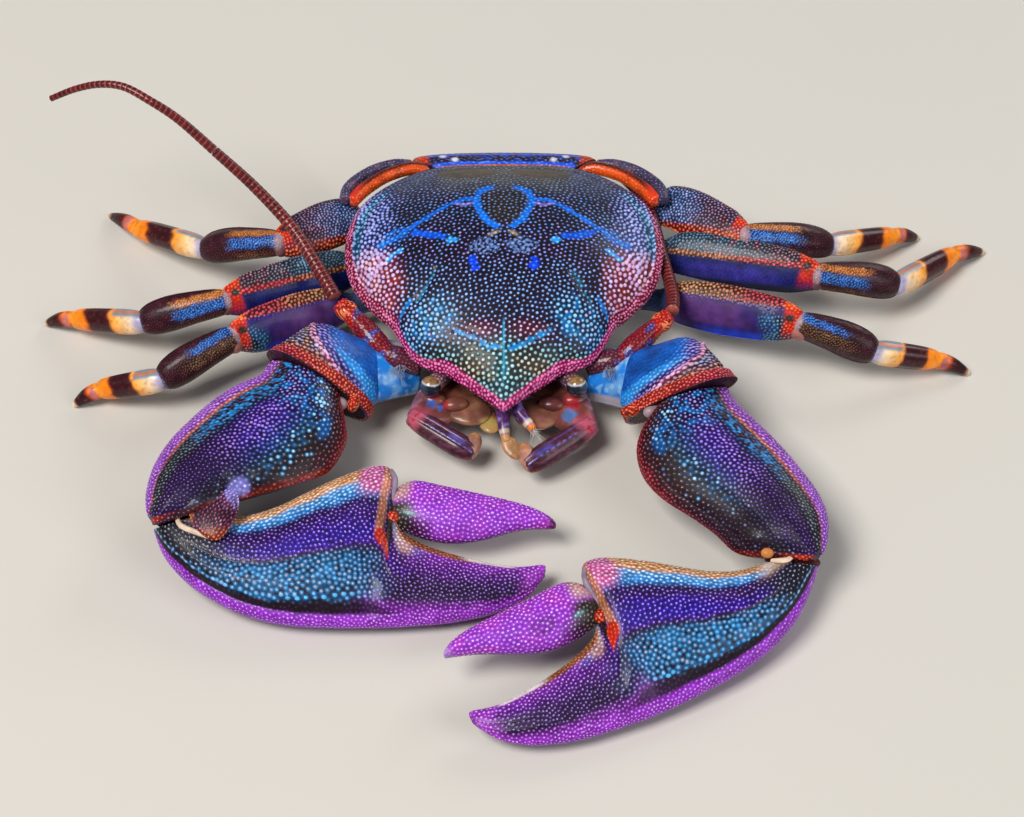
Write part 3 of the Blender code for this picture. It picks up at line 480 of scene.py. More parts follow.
def paintShell(piece):
    facts = shellFacts
    points = readPoints(piece)
    x, y = points[:, 0], points[:, 1]
    side, edge = np.abs(x), shellReach(np.arctan2(x, -y))
    top = points[:, 2] > facts["rim"] + facts["slope"] * y - 0.3
    fromRim = (1 - np.clip(np.hypot(x, y) / edge, 0, 1)) * edge
    rimBand = rimShare(fromRim, y)
    warp = wander(points, 1.3) * 0.35
    warp2 = wander(points, 0.35, 3) * 0.22
    ragged = warp2 * 1.3 + wander(points, 0.16, 4) * 0.22
    front, rear = ease(-y + warp, 8.4, 10.4), ease(y, 7.5, 13.0)
    flank = ease(side, 10.0, 13.0) * ease(y, -3.0, 1.0) * (1 - ease(y, 10.0, 13.0))
    rose = ease(blob(side, y, 13.4, -1.6, 3.4, 4.4, -35) * 1.25 + warp * 0.25, 0.2, 0.85)
    rose = rose * ease(side, 8.2, 10.2)
    cyan = ease(blob(side, y, 7.2, -6.8, 3.3, 2.4, -30) + warp2 * 0.8, 0.3, 0.8)
    cyan = cyan * (1 - ease(side, 10.2, 11.2))
    tan = ease(blob(side, y, 3.7, 13.2, 3.4, 1.5), 0.35, 0.6)

    gap = 0.50 + 0.04 * front + 0.05 * rose - 0.03 * rear
    size = 0.108 + 0.03 * front + 0.055 * rose + 0.04 * cyan + 0.03 * flank - 0.02 * rear
    gap, size = gap * (1 - rimBand) + 0.34 * rimBand, size * (1 - rimBand) + 0.12 * rimBand
    size = size * (1 - 0.9 * tan)
    slant = np.stack([np.sign(x) * 0.55, np.full(len(x), 0.83), np.full(len(x), 0.1)], 1)
    grains = addGrains(piece, gap, size, 0.06 + 0.03 * front + 0.03 * rose, 11, slant,
                       1 + 0.9 * flank * (1 - rimBand), top)
    chance = grains["chance"]

    # paints: the ground between the beads, round them and on them
    coats = flatCoats(len(x), "#180a14", "#201c40", "#6498ec")
    brush(coats, ease(wander(points, 2.4, 5), -0.1, 0.4) * 0.6, "#1c0c18", "#2c1c34", "#8878dc")
    brush(coats, ease(y, 1.0, 7.0), "#18121e", "#243050", "#5c8cd8")
    brush(coats, ease(chance, 0.6, 0.75) * 0.7, None, None, "#a894e8")
    brush(coats, rear, "#3c3c50", "#4c5470", "#7088b8")
    brush(coats, rear * (1 - ease(side, 5.0, 8.0)), "#4a4844", "#545458", "#7c90ac")
    brush(coats, humpAt(side, 0.0, 2.6) * humpAt(y, 6.4, 3.4), "#2c2018", "#302a2c", "#5c88c0")
    brush(coats, ease(-y, -1.0, 4.0), "#1c0c1a", "#1c2850", "#84b4f8")
    brush(coats, flank, "#14183c", "#2448a0", "#a8b0f4")
    brush(coats, humpAt(fromRim, 1.3, 0.7) * ease(side, 11.0, 13.0) * ease(y, -1.0, 2.0) * 0.8,
          "#0c3c58", "#146490", "#80b8e4")
    brush(coats, cyan, "#14243c", "#1c74b4", "#98ccf4")
    brush(coats, cyan * ease(wander(points, 0.7, 21), 0.05, 0.3), "#0c5c98", "#1a8cd4", "#88ccfc")
    brush(coats, cyan * ease(chance, 0.75, 0.85), None, None, "#d8c0fc")
    brush(coats, front, "#1e1a18", "#305458", "#8cccdc")
    brush(coats, front * ease(wander(points, 1.1, 22), 0.0, 0.4) * 0.8, "#342818", "#544c34", "#c0ccb8")
    brush(coats, blob(side, y, 3.2, -11.4, 2.6, 0.8) * 0.7, "#3c2814", "#6a5030", "#e8dcc0")
    brush(coats, front * blob(side, y, 0.0, -12.0, 0.9, 3.0) * 0.8, "#14343c", "#1f7c8c", "#a8ecf8")
    brush(coats, ease(-y, 12.8, 14.6) * 0.7, "#2c2434", "#3c4454", "#9cc4d8")
    brush(coats, blob(side, y, 2.4, -8.4, 1.8, 0.8) * 1.2, "#3c1424", "#6a3050", "#ecc0e8")
    brush(coats, rose, "#5c1828", "#a05064", "#d8c0f4")
    brush(coats, rose * ease(wander(points, 0.8, 8), -0.1, 0.3), "#74201c", "#b85c54", "#e0c0e4")
    brush(coats, rose * ease(chance, 0.7, 0.8) * 0.8, None, None, "#d49cd8")
    strokes = (("horseshoe", 0.36, "#0c64dc", "#1480f0", "#3ca0fc"), ("arc", 0.28, "#0c58c8", "#1074e4", "#3c98f8"),
               ("patch", 0.40, "#0848c8", "#0c60e8", "#2c84f8"), ("patchEnd", 0.34, "#1c88e0", "#34b0f8", "#8cd8fc"),
               ("oblique", 0.26, "#2088e0", "#44b0f8", "#a0d8fc"), ("bar", 0.36, "#0a38d8", "#0c50f0", "#2c74fc"),
               ("under", 0.18, "#1478c0", "#2498dc", "#70c8f4"), ("groove", 0.12, "#145c80", "#2080a8", "#60b4d8"),
               ("side", 0.2, "#1068c0", "#1c84dc", "#58b4f4"))
    for title, half, dark, halo, light in strokes:
        far = strokeDistance(side, y, facts[title]) + ragged
        brush(coats, 1 - ease(far, half * 0.8, half * 1.2), dark, halo, light)
    far = strokeDistance(side, y, facts["crescent"])
    brush(coats, 0.85 * (1 - ease(far, 0.14, 0.26)), "#7870d8", "#9c90f0", "#c8b8f8")
    streaks = ease(blob(side, y, 10.9, 3.4, 2.6, 1.5, -25) + warp2 * 1.4, 0.5, 0.75)
    brush(coats, streaks * ease(wander(points, 0.3, 14), -0.15, 0.1) * 0.9, "#0c58bc", "#1474dc", "#60a8f8")
    maze = ease(blob(side, y, 1.8, 0.8, 1.7, 1.2) + warp2, 0.35, 0.6)
    maze = maze * ease(wander(points, 0.3, 12), -0.05, 0.12)
    brush(coats, maze, "#5878b4", "#6c8cc8", "#8ca8dc")
    brush(coats, blob(side, y, 0.95, 2.4, 0.5, 0.2, -30) * 1.2, "#a08c74", "#b49c84", "#c8b49c")
    middle = humpAt(x, 0.0, 0.16) * ease(-y, 7.2, 8.2) * (1 - ease(-y, 11.5, 14))
    brush(coats, middle, "#1c88b0", "#2ca4cc", "#88d8ec")
    brush(coats, tan, "#4c443c", "#4c443c", "#4c443c")
    brush(coats, rimBand * (1 - 0.5 * ease(y, 6.0, 10.0)), "#641028", "#a82c50", "#e884b4")
    brush(coats, rimBand * ease(-y, 4.5, 7.0), "#800c48", "#c02c78", "#f07cbc")
    brush(coats, (~top).astype(float), "#5c6c84", "#5c6c84", "#5c6c84")
    lay(piece, coats, grains)
    return grains["count"]


def makeShell():
    piece = shapeShell()
    beads = paintShell(piece)
    done(piece, "shell")
    print("shell", beads, "beads", len(piece.data.polygons), "faces")


def ovalLimb(name, start, end, face, form, sides, levels, lift=0.0):
    along, wide, tall = limbFrame(start, end, face)
    start, end = np.asarray(start, float), np.asarray(end, float)
    rings = []
    for share, halfWide, halfThick in form:
        bend = np.array((0, 0, lift)) * math.sin(math.pi * min(max(share, 0), 1))
        rings.append(section(start + (end - start) * share + bend, wide, tall, halfWide, halfThick, halfThick,
                             roundAngles(sides)))
    return smoothOut(cage(name, rings), levels)


def tubeRings(line, radii, sides, squash=1.0):  # rings across a line, with no twist between them
    rings, wide = [], None
    for i, (point, radius) in enumerate(zip(line, radii)):
        along = unit(line[min(i + 1, len(line) - 1)] - line[max(i - 1, 0)])
        guide = np.cross(along, (0, 0, 1)) if wide is None else wide
        wide = unit(guide - along * guide.dot(along))
        rings.append(section(point, wide, np.cross(wide, along), radius, radius * squash, radius * squash,
                             roundAngles(sides)))
    return rings


def tubeLimb(name, route, radii, sides, levels, perSpan=4, squash=1.0):
    line = smoothLine(route, perSpan)
    reach = curveOf(radii)(np.arange(len(line)) / perSpan)
    return smoothOut(cage(name, tubeRings(line, reach, sides, squash)), levels)


def fineForm(form, steps):  # the same form with more rings
    shares = np.linspace(form[0][0], form[-1][0], steps)
    wide, thick = curveOf([(f[0], f[1]) for f in form]), curveOf([(f[0], f[2]) for f in form])
    return [(float(s), float(wide(s)), float(thick(s))) for s in shares]


def makeBall(name, middle, radii, turn=0.0, fine=24):  # an ellipsoid turned about the upright axis
    bpy.ops.object.select_all(action="DESELECT")
    bpy.ops.mesh.primitive_uv_sphere_add(segments=fine, ring_count=fine * 2 // 3, radius=1)
    piece = bpy.context.object
    piece.name = name
    bpy.ops.object.shade_smooth()
    x, y, z = (readLayer(piece.data.vertices, "co") * radii).T
    c, s = math.cos(math.radians(turn)), math.sin(math.radians(turn))
    putPoints(piece, np.stack([x * c - y * s, x * s + y * c, z], 1) + np.asarray(middle, float))
    return piece


def coatPiece(piece, *codes, gap=0.34, size=0.0, lift=0.04, seed=1):
    # one paint, or three and beads of a size
    grains = addGrains(piece, gap, size, lift, seed) if size else None
    lay(piece, flatCoats(len(piece.data.vertices), *codes), grains)
    return piece


def joinInto(piece, *others):
    bpy.ops.object.select_all(action="DESELECT")
    for other in (*others, piece):
        other.select_set(True)
    bpy.context.view_layer.objects.active = piece
    bpy.ops.object.join()
    return piece


def onSide(side, points):
    return [(side * x, y, z) for x, y, z in points]


redBeads = ("#8c1408", "#b82410", "#f08050")


clawFacts = {
    "right": dict(
        side=-1, root=(-13.6, -8.6, 4.9), elbow=(-18.9, -11.8, 6.6), armEnd=(-29.1, -25.2, 6.2), armRoll=-9,
        wrist=(-30.7, -27.1, 4.0), tip=(3.5, -31.3, 2.6), palmRoll=12, fingerShare=1.0,
        elbowPlane=(-19.6, -11.7, 8.8), elbowNormal=(-0.44, -0.88, -0.18),
        wristPlane=(-29.3, -26.8, 4.8), wristNormal=(0.30, -0.78, -0.55),
        palmOuter=((-2.0, 0.6), (-1.2, 2.1), (-0.3, 3.5), (1.2, 4.9), (3.1, 6.2), (5.1, 7.1), (7.1, 7.9), (9.6, 8.4),
                   (12.4, 8.6), (17.9, 8.1), (23.5, 7.1), (27.5, 6.1), (31.0, 4.7), (33.4, 3.0), (34.6, 1.2),
                   (35.0, 0.3)),
        fingerTop=((17.8, 4.8), (18.6, 5.8), (19.2, 6.5), (20.4, 7.4), (23.5, 7.2), (27.6, 6.8), (31.6, 6.2),
                   (33.8, 5.4), (34.4, 4.8)),
        fingerLow=((17.8, -3.4), (18.6, -3.0), (19.2, -2.6), (20.4, -2.1), (22.4, -1.6), (25.0, -1.5), (28.0, -2.3),
                   (31.0, -3.7), (34.4, -4.3)),
        armOuter=((-2.6, 4.6), (-1.0, 4.6), (1.3, 4.2), (2.6, 3.9), (4.3, 4.7), (7.1, 5.4), (10.4, 5.6), (13.5, 5.5),
                  (16.0, 5.0), (18.0, 4.2), (20.1, 2.8), (21.1, 1.6), (21.6, 0.5)),
        armInner=((-2.6, 2.2), (-1.0, 3.3), (0.9, 5.2), (2.3, 6.9), (5.5, 8.0), (8.4, 8.0), (11.2, 7.1), (12.8, 5.8),
                  (14.2, 4.6), (16.2, 4.4), (18.4, 3.3), (19.6, 1.9), (20.6, 1.0), (21.8, 0.2)),
        ridge=((-18.6, -5.3), (-18.4, -6.6), (-17.1, -9.2), (-15.0, -12.8)),
        elbowSkin=(-15.9, -14.0, 6.2), elbowKnob=(-14.5, -14.0, 6.1), knobRadii=(0.55, 0.85, 0.8),
        knob=((-31.5, -26.8, 7.3), (1.0, 0.5, 0.5), -10), hinge=(-29.9, -27.2, 7.2),
        endRed=(0.72, 0.34), blueZone=0.5, wristSkin=(-29.9, -26.8, 5.1), skinTurn=21,
        arc=((-30.3, -27.6, 6.3), (-29.8, -28.9, 6.3), (-28.1, -29.7, 6.2), (-26.9, -30.2, 6.1)),
    ),
    "left": dict(
        side=1, root=(13.2, -9.6, 4.9), elbow=(17.9, -13.9, 6.6), armEnd=(26.5, -30.3, 6.2), armRoll=-9,
        wrist=(27.9, -31.2, 4.2), tip=(-2.5, -47.4, 2.8), palmRoll=14, fingerShare=0.935,
        elbowPlane=(18.2, -14.6, 8.8), elbowNormal=(0.26, -0.90, -0.36),
        wristPlane=(27.2, -32.0, 4.6), wristNormal=(-0.08, -0.82, -0.55),
        palmOuter=((-2.0, 0.3), (-0.9, 0.9), (0.4, 2.3), (2.4, 3.9), (4.3, 5.1), (7.1, 6.2), (9.8, 6.8), (12.9, 7.1),
                   (18.7, 7.2), (23.5, 6.7), (27.5, 6.0), (31.0, 4.7), (33.4, 3.0), (34.6, 1.2), (35.0, 0.3)),
        fingerTop=((17.8, 5.2), (18.6, 6.2), (19.2, 6.9), (20.4, 7.7), (23.5, 7.7), (27.6, 7.6), (31.0, 7.4),
                   (32.7, 6.9), (33.4, 6.4)),
        fingerLow=((17.8, -3.6), (18.6, -3.3), (19.2, -3.0), (20.4, -2.5), (22.4, -2.2), (25.0, -2.4), (28.0, -3.7),
                   (30.6, -5.0), (33.4, -6.0)),
        armOuter=((-2.6, 3.9), (-1.0, 4.1), (1.2, 3.7), (2.6, 3.5), (6.2, 4.1), (9.2, 4.5), (12.2, 4.7), (15.4, 4.7),
                  (17.7, 4.3), (19.7, 3.3), (21.2, 1.9), (21.8, 0.7)),
        armInner=((-2.6, 1.6), (-1.2, 2.8), (-0.1, 4.1), (0.7, 5.8), (2.6, 7.4), (5.6, 8.3), (8.6, 7.9), (11.6, 6.7),
                  (14.6, 5.7), (17.2, 5.2), (18.8, 3.8), (19.6, 2.6), (20.8, 1.2), (21.8, 0.2)),
        ridge=((19.4, -7.2), (19.0, -9.2), (17.1, -10.9), (15.0, -12.8), (13.8, -14.4)),
        elbowSkin=(14.3, -15.0, 6.2), elbowKnob=(12.2, -14.8, 6.0), knobRadii=(1.0, 0.6, 0.6),
        knob=((27.1, -31.3, 6.8), (1.3, 0.5, 0.45), -10), hinge=(24.1, -32.4, 6.8),
        endRed=(0.46, 0.24), blueZone=1.0, wristSkin=(26.6, -31.9, 4.9), skinTurn=-6,
        arc=((24.4, -32.8, 6.2), (25.2, -33.0, 6.4), (26.1, -32.8, 6.4), (26.7, -31.9, 6.7)),
    ),
}
palmFacts = dict(
    inner=((-2.0, 1.6), (-1.0, 2.2), (1.0, 2.2), (3.4, 1.5), (6.2, 1.6), (9.2, 3.0), (12.0, 5.1), (14.6, 7.0),
           (16.8, 8.2), (18.6, 8.6), (19.4, 8.0), (19.9, 5.5), (20.4, 3.0), (21.6, 1.8), (24.0, 0.9), (28.0, 0.2),
           (32.0, 0.0), (33.6, 0.3), (34.6, 0.6), (35.0, 0.4)),
    rimAt=0.905,  # the share of the visible width where the outer rim starts
    relief=((0, 0), (0.05, 0.12), (0.11, 0.04), (0.16, -0.04), (0.3, 0.12), (0.46, 0.02), (0.50, -0.08),
            (0.66, 0.20), (0.80, 0.05), (0.86, -0.08), (0.895, -0.14), (0.94, 0.12), (1, 0)),
    up=((-2.0, 1.6), (0.0, 2.4), (6.0, 2.6), (14.0, 2.9), (19.0, 2.5), (23.0, 1.9), (30.0, 1.4), (35.0, 0.4)),
    down=((-2.0, 0.6), (0.0, 2.0), (6.0, 3.2), (14.0, 3.6), (19.0, 3.2), (23.0, 2.5), (30.0, 2.0), (35.0, 0.5)),
    stops=(-2.0, -1.6, -1.1, -0.5, 0.4, 1.4, 2.4, 3.4, 4.4, 5.4, 6.4, 7.4, 8.4, 9.4, 10.4, 11.4, 12.4, 13.4, 14.4,
           15.4, 16.4, 17.2, 17.9, 18.5, 19.0, 19.4, 19.7, 20.0, 20.4, 20.9, 21.6, 22.5, 23.6, 24.8, 26.0, 27.2,
           28.4, 29.6, 30.8, 31.8, 32.7, 33.5, 34.1, 34.6, 34.9),
    bands=((0.0, "#8a4f2a", "#c98a55", "#f0dcc4"), (0.07, "#9a5a30", "#d29660", "#f0dcc4"),
           (0.10, "#2f6ea8", "#4a95d0", "#c4dcf4"), (0.16, "#1a4c90", "#2f80c8", "#a8d0f4"),
           (0.20, "#180c28", "#2c2068", "#a488e4"), (0.30, "#1a0820", "#441880", "#b48ce8"),
           (0.40, "#180848", "#3a1cb0", "#b48cf0"), (0.46, "#1c0838", "#48209c", "#a880e4"),
           (0.49, "#160810", "#2c1440", "#8c7cb0"), (0.53, "#180c18", "#1a5f9c", "#b8a4c4"),
           (0.66, "#201020", "#1a7cc0", "#c0a8bc"), (0.765, "#201018", "#2090d4", "#8cc8f0"),
           (0.80, "#180812", "#20101c", "#54306c"), (0.885, "#1c0818", "#380f3c", "#70408c"),
           (0.905, "#74189c", "#9a2ccc", "#d4a4f0"), (1.0, "#8424b0", "#a438d4", "#dcb0f4")),
    fingerBands=((0.0, "#6a1f8a", "#9436b8", "#dcb0f0"), (0.22, "#3c1060", "#6a2494", "#c49ce8"),
                 (0.45, "#1a0820", "#38125c", "#9c84d0"), (0.7, "#1c0c1c", "#34144c", "#8c74c4"),
                 (0.84, "#541470", "#8a2cae", "#cc98ec"), (1.0, "#8424b0", "#a838d4", "#e0b4f4")),
)
fingerFacts = dict(
    hinge=(0.95, 0.25),
    thick=((17.8, 0.5), (18.6, 0.9), (19.2, 1.3), (20.6, 1.75), (24.0, 1.8), (29.5, 1.3), (33.4, 0.7), (34.4, 0.2)),
    stops=(17.8, 18.0, 18.4, 18.9, 19.4, 19.9, 20.5, 21.3, 22.2, 23.2, 24.4, 25.6, 26.8, 28.0, 29.2, 30.3, 31.3,
           32.2, 33.0, 33.6, 34.1, 34.4),
)
armFacts = dict(
    rimAt=0.92, rimBreadth=1.1,
    relief=((0, 0), (0.05, 0.06), (0.12, -0.06), (0.3, 0.1), (0.42, 0), (0.62, 0.26), (0.75, 0.05), (0.84, 0),
            (0.905, -0.14), (0.95, 0.1), (1, 0)),
    up=((-2.6, 2.2), (0.6, 2.7), (5.0, 2.8), (12.0, 2.6), (17.5, 2.2), (19.6, 1.7), (21.6, 0.8)),
    down=((-2.6, 1.8), (0.6, 2.2), (5.0, 2.6), (12.0, 2.6), (17.5, 2.0), (19.6, 1.5), (21.6, 0.7)),
    stops=(-2.6, -2.0, -1.4, -0.8, -0.2, 0.6, 1.6, 2.6, 3.6, 4.6, 5.6, 6.6, 7.6, 8.6, 9.5, 10.4, 11.2, 11.9, 12.5,
           13.0, 13.6, 14.3, 15.1, 16.0, 16.9, 17.7, 18.4, 19.0, 19.6, 20.2, 20.8, 21.2, 21.5),
    bands=((0.0, "#4c0c16", "#a01c30", "#d8505c"), (0.035, "#440c16", "#801828", "#d0505c"),
           (0.07, "#240c14", "#3a1420", "#a85058"), (0.18, "#1a0e14", "#30202a", "#b08078"),
           (0.28, "#181016", "#283440", "#b898a0"), (0.36, "#161420", "#20587c", "#a8b4d0"),
           (0.44, "#141438", "#2450a8", "#9c94e0"), (0.55, "#180c40", "#3a30ac", "#a88cec"),
           (0.66, "#1c0a3c", "#5430b4", "#b088e8"), (0.74, "#180c30", "#34208c", "#9478d4"),
           (0.785, "#140e1c", "#1a3050", "#3470a8"), (0.84, "#141420", "#1a74b8", "#2c98e4"),
           (0.895, "#181420", "#1c5078", "#3888c0"), (0.92, "#5c3034", "#845060", "#c08890"),
           (0.94, "#6a2c90", "#9048c0", "#c898e8"), (1.0, "#702c8c", "#9848bc", "#cca0e8")),
)
clawBaseForm = ((0.0, 2.6, 1.6), (0.4, 3.0, 1.9), (0.8, 3.4, 2.1), (1.0, 3.5, 2.2), (1.2, 3.2, 2.1))
clawMerusForm = ((-0.3, 2.8, 2.0), (0.05, 3.6, 2.3), (0.3, 4.9, 2.6), (0.5, 5.6, 2.7), (0.8, 5.4, 2.8),
                 (1.25, 4.3, 2.7), (1.75, 2.7, 2.0))
lobeFacts = dict(  # the thin flap of the right arm: middle, half width and half thickness
    rings=((-27.2, -25.2, 6.9, 2.3, 0.7), (-26.9, -26.4, 7.1, 2.55, 0.6), (-26.7, -27.6, 7.1, 2.55, 0.5),
           (-26.6, -29.0, 6.8, 2.1, 0.4), (-26.5, -30.0, 6.5, 1.2, 0.3), (-26.4, -30.6, 6.2, 0.3, 0.15)),
    notch=(-24.6, -25.1, 7.4),  # the dent of the arm where it starts
)


def clawFrame(origin, tip, roll, inward):
    along = unit(np.subtract(tip, origin))
    across = unit((-along[1], along[0], 0))
    if across.dot(np.asarray(inward, float)) < 0:
        across = -across
    up = np.array((0, 0, 1.0))
    up = unit(up - along * up.dot(along))
    turn = math.radians(roll)
    return along, across * math.cos(turn) + up * math.sin(turn), up * math.cos(turn) - across * math.sin(turn)


def clawShape(name, axes, origin, facts, edge, top, bottom):
    along, across, face = axes
    inner, outer, up, down = (curveOf(facts[key]) for key in ("inner", "outer", "up", "down"))
    rings = []
    for stop in facts["stops"]:
        inReach, outReach = float(inner(stop)), float(outer(stop))
        centre = origin + along * stop + across * (inReach - outReach) / 2
        rings.append(section(centre, across, face, (inReach + outReach) / 2, float(up(stop)),
                             float(down(stop)), topAngles(top, bottom), edge))
    return smoothOut(cage(name, rings), 3)


def clawPlaces(piece, axes, origin, edge=0.0, rim=1.5):
    # distance along, share of the visible width from the inner margin, both seen from in front and above,
    # and how far a point faces up; the outer rim keeps its breadth and starts at the edge's share
    along, across, face = axes
    step = readPoints(piece) - origin
    step = step - np.outer(step @ face / (lookWay @ face), lookWay)
    reach, out = step @ along, step @ across
    slot = np.round((reach - reach.min()) * 2.5).astype(int)
    stops = reach.min() + np.arange(slot.max() + 1) / 2.5
    inner, outer = np.full(len(stops), -1e9), np.full(len(stops), 1e9)
    np.maximum.at(inner, slot, out)
    np.minimum.at(outer, slot, out)
    inner, outer = np.interp(reach, stops, inner), np.interp(reach, stops, outer)
    wide = np.maximum(inner - outer, 0.1)
    share = np.clip((inner - out) / wide, 0, 1)
    if edge:
        start = 1 - np.minimum(rim, 0.2 * wide) / wide
        onRim = edge + (share - start) / (1 - start) * (1 - edge)
        share = np.where(share > start, onRim, share / start * edge)
    return reach, share, readNormals(piece) @ face


def seenFrom(points, spot):  # distance from a place, across the line of sight from in front and above
    step = points - np.asarray(spot, float)
    return np.linalg.norm(step - np.outer(step @ lookWay, lookWay), axis=1)


def stopAt(points, spot, normal, soft=0.15, draw=0.0):
    # presses what lies beyond a plane back onto it, with a soft edge, and draws it together
    spot, normal = np.asarray(spot, float), unit(normal)
    far = (points - spot) @ normal
    points = points - np.outer(far + soft * np.logaddexp(0, -far / soft), normal)
    inward = spot - points
    inward = inward - np.outer(inward @ normal, normal)
    return points + inward * (draw * ease(far, 0.4, 2.2))[:, None]


def makePalm(name, facts, seed):
    origin = np.array(facts["wrist"])
    axes = clawFrame(origin, facts["tip"], facts["palmRoll"], (0, 1, 0))
    shape = dict(palmFacts, outer=facts["palmOuter"])
    piece = clawShape(f"palm_{name}", axes, origin, shape, 1.0, 22, 10)
    reach, share, facing = clawPlaces(piece, axes, origin, shape["rimAt"])
    points, normals = readPoints(piece), readNormals(piece)
    top = ease(facing, -0.35, 0.05)
    body = 1 - ease(reach, 19.5, 23.0)
    relief = np.interp(share, *zip(*shape["relief"]))
    points = points + normals * (relief * top * (0.35 + 0.65 * body) * ease(reach, 1.0, 4.0))[:, None]
    points = points + np.outer(0.5 * top * blob(reach, share, 17.8, 0.12, 1.8, 0.18), axes[2])
    points = points - np.outer(0.9 * top * blob(reach, share, 19.6, 0.28, 0.7, 0.12), axes[2])
    turned = unit(facts["wristNormal"])
    points = stopAt(points, np.array(facts["wristPlane"]) + turned * 0.1, -turned, 0.15, 0.7)
    points[:, 2] = np.maximum(points[:, 2], 0.05)
    putPoints(piece, points)

    warp = wander(points, 2.2, seed) * 0.018 + wander(points, 0.6, seed + 1) * 0.008
    along = share + warp * (1 - ease(share, 0.85, 0.92))
    rim = ease(along, 0.905, 0.915)
    near = 1 - ease(reach + warp * 80, 2.0, 9.0)
    azure = humpAt(along, 0.66, 0.2) * (1 - ease(reach + warp * 40, 15.5, 20.5)) * (1 - near)
    teeth = humpAt(along, 0.785, 0.025) * (1 - ease(reach, 17.0, 20.0))
    quiet = humpAt(along, 0.86, 0.055) * body
    rows = (1 - ease(along, 0.12, 0.2)) * body
    gap = 0.41 + 0.09 * azure + 0.45 * teeth - 0.05 * rim - 0.03 * (1 - body)
    size = 0.078 + 0.02 * azure + 0.11 * teeth - 0.01 * rim - 0.035 * quiet + 0.012 * rows
    size = size * (0.45 + 0.55 * top) * (1 - 0.5 * ease(reach, 33.8, 34.8))
    lie = unit(axes[0] * 0.75 + axes[1] * 0.66) * np.ones((len(points), 1))
    grains = addGrains(piece, gap, size, (0.05 + 0.04 * azure) * (0.4 + 0.6 * top), seed, lie, 1 + 0.5 * rows)

    coats = bandCoats(along, palmFacts["bands"])
    fingers = bandCoats(along, palmFacts["fingerBands"])
    turn = ease(reach + 5 * (share - 0.3) + warp * 60, 18.5, 24.0)[:, None]
    coats = [bodyCoat * (1 - turn) + finger * turn for bodyCoat, finger in zip(coats, fingers)]
    brush(coats, near * humpAt(along, 0.5, 0.4), "#140c14", "#1c2434", "#9c98ac")
    loose = ease(wander(points, 0.9, seed + 3), -0.25, 0.25)
    brush(coats, azure, "#160c18", "#2278b4", "#9cb0c4")
    brush(coats, azure * loose * 0.6, "#1c5484", "#3494d8", None)
    brush(coats, azure * ease(grains["chance"], 0.5, 0.7) * 0.8, None, None, "#c49c94")
    brush(coats, azure * ease(-grains["chance"], -0.3, -0.2) * 0.8, None, None, "#64b4f0")
    brush(coats, teeth * (1 - 0.7 * near), "#160c18", "#1c4c7c", "#48b0f4")
    brush(coats, quiet * 0.8, "#160c14", "#1c1020", "#44284c")
    brush(coats, humpAt(reach, 14.0, 6.0) * humpAt(along, 0.36, 0.12) * 0.6 * facts["blueZone"],
          "#180c6c", "#2c1cb0", None)
    hood = ease(blob(reach, share, 18.2, 0.06, 2.2, 0.15) + warp * 6, 0.3, 0.75)
    brush(coats, hood, "#94386c", "#c4609c", "#f0c0e0")
    brush(coats, humpAt(reach, 19.0, 0.5) * (1 - ease(share, 0.36, 0.42)) * 0.8,
          "#b06840", "#cc8858", "#f0c8a0")
    # dark band round the finger's socket: partly the joint's own dark skin, partly painted shade in its hollow
    brush(coats, humpAt(reach, 19.9, 0.6) * (1 - ease(share, 0.34, 0.38)), "#1c1418", "#241a20", "#584858")
    fleck = blob(reach, share, 19.5, 0.40, 0.9, 0.06)
    brush(coats, ease(fleck, 0.3, 0.6), "#a01c10", "#cc2c14", "#f88048")
    peach = blob(reach, share, 21.4, 0.10, 1.4, 0.13)
    brush(coats, ease(peach + warp * 6, 0.3, 0.9) * 0.7, "#a06848", "#cc9880", "#f8e0dc")
    gape = ease(reach, 20.6, 21.4) * (1 - ease(reach, 27.0, 29.0)) * (1 - ease(share, 0.05, 0.09))
    brush(coats, gape, "#6c3418", "#94522c", "#c89468")
    blade = ease(reach, 26.5, 28.0) * (1 - ease(reach, 31.5, 32.5)) * (1 - ease(share, 0.03, 0.06))
    brush(coats, blade, "#d8c8c8", "#e4d8d8", "#f0e8e8")
    brush(coats, ease(reach, 32.0, 34.0) * 0.8, "#8a2aa8", "#a83cc8", "#dca8f0")
    skin = (1 - ease(reach, 3.0, 6.0)) * (1 - ease(share, 0.1, 0.3))
    brush(coats, skin * 0.9, "#b8946c", "#b8946c", "#d0b8a0")
    brush(coats, (1 - ease(reach, 2.0, 5.0)) * humpAt(share, 0.0, 0.14), "#b8c4d4", "#c0ccdc", "#d8e0e8")
    brush(coats, (1 - ease(facing, -0.75, -0.45)) * 0.9, "#5c4c78", "#6c5a8c", "#8c7ab0")
    lay(piece, coats, grains, 0.26, 0.54)
    ball = makeBall("ball", origin + axes[0] * 20.1 + axes[1] * 3.1 + axes[2] * 1.0, (0.7, 0.7, 0.6))
    coatPiece(ball, *redBeads, size=0.08, seed=3)
    crescent = tubeLimb("crescent", [origin + axes[0] * r + axes[1] * a + axes[2] * f for r, a, f in (
        (19.2, 7.9, 1.2), (19.8, 6.8, 1.4), (19.8, 5.4, 1.3), (19.7, 4.2, 1.2))],
        ((0, 0.2), (1, 0.3), (2, 0.3), (3, 0.2)), 12, 2)
    joinInto(piece, ball, coatPiece(crescent, "#8c7c90"))
    done(piece, f"claw_palm_{name}")
    print("palm", name, grains["count"], "beads", len(piece.data.polygons), "faces")
    return axes, origin


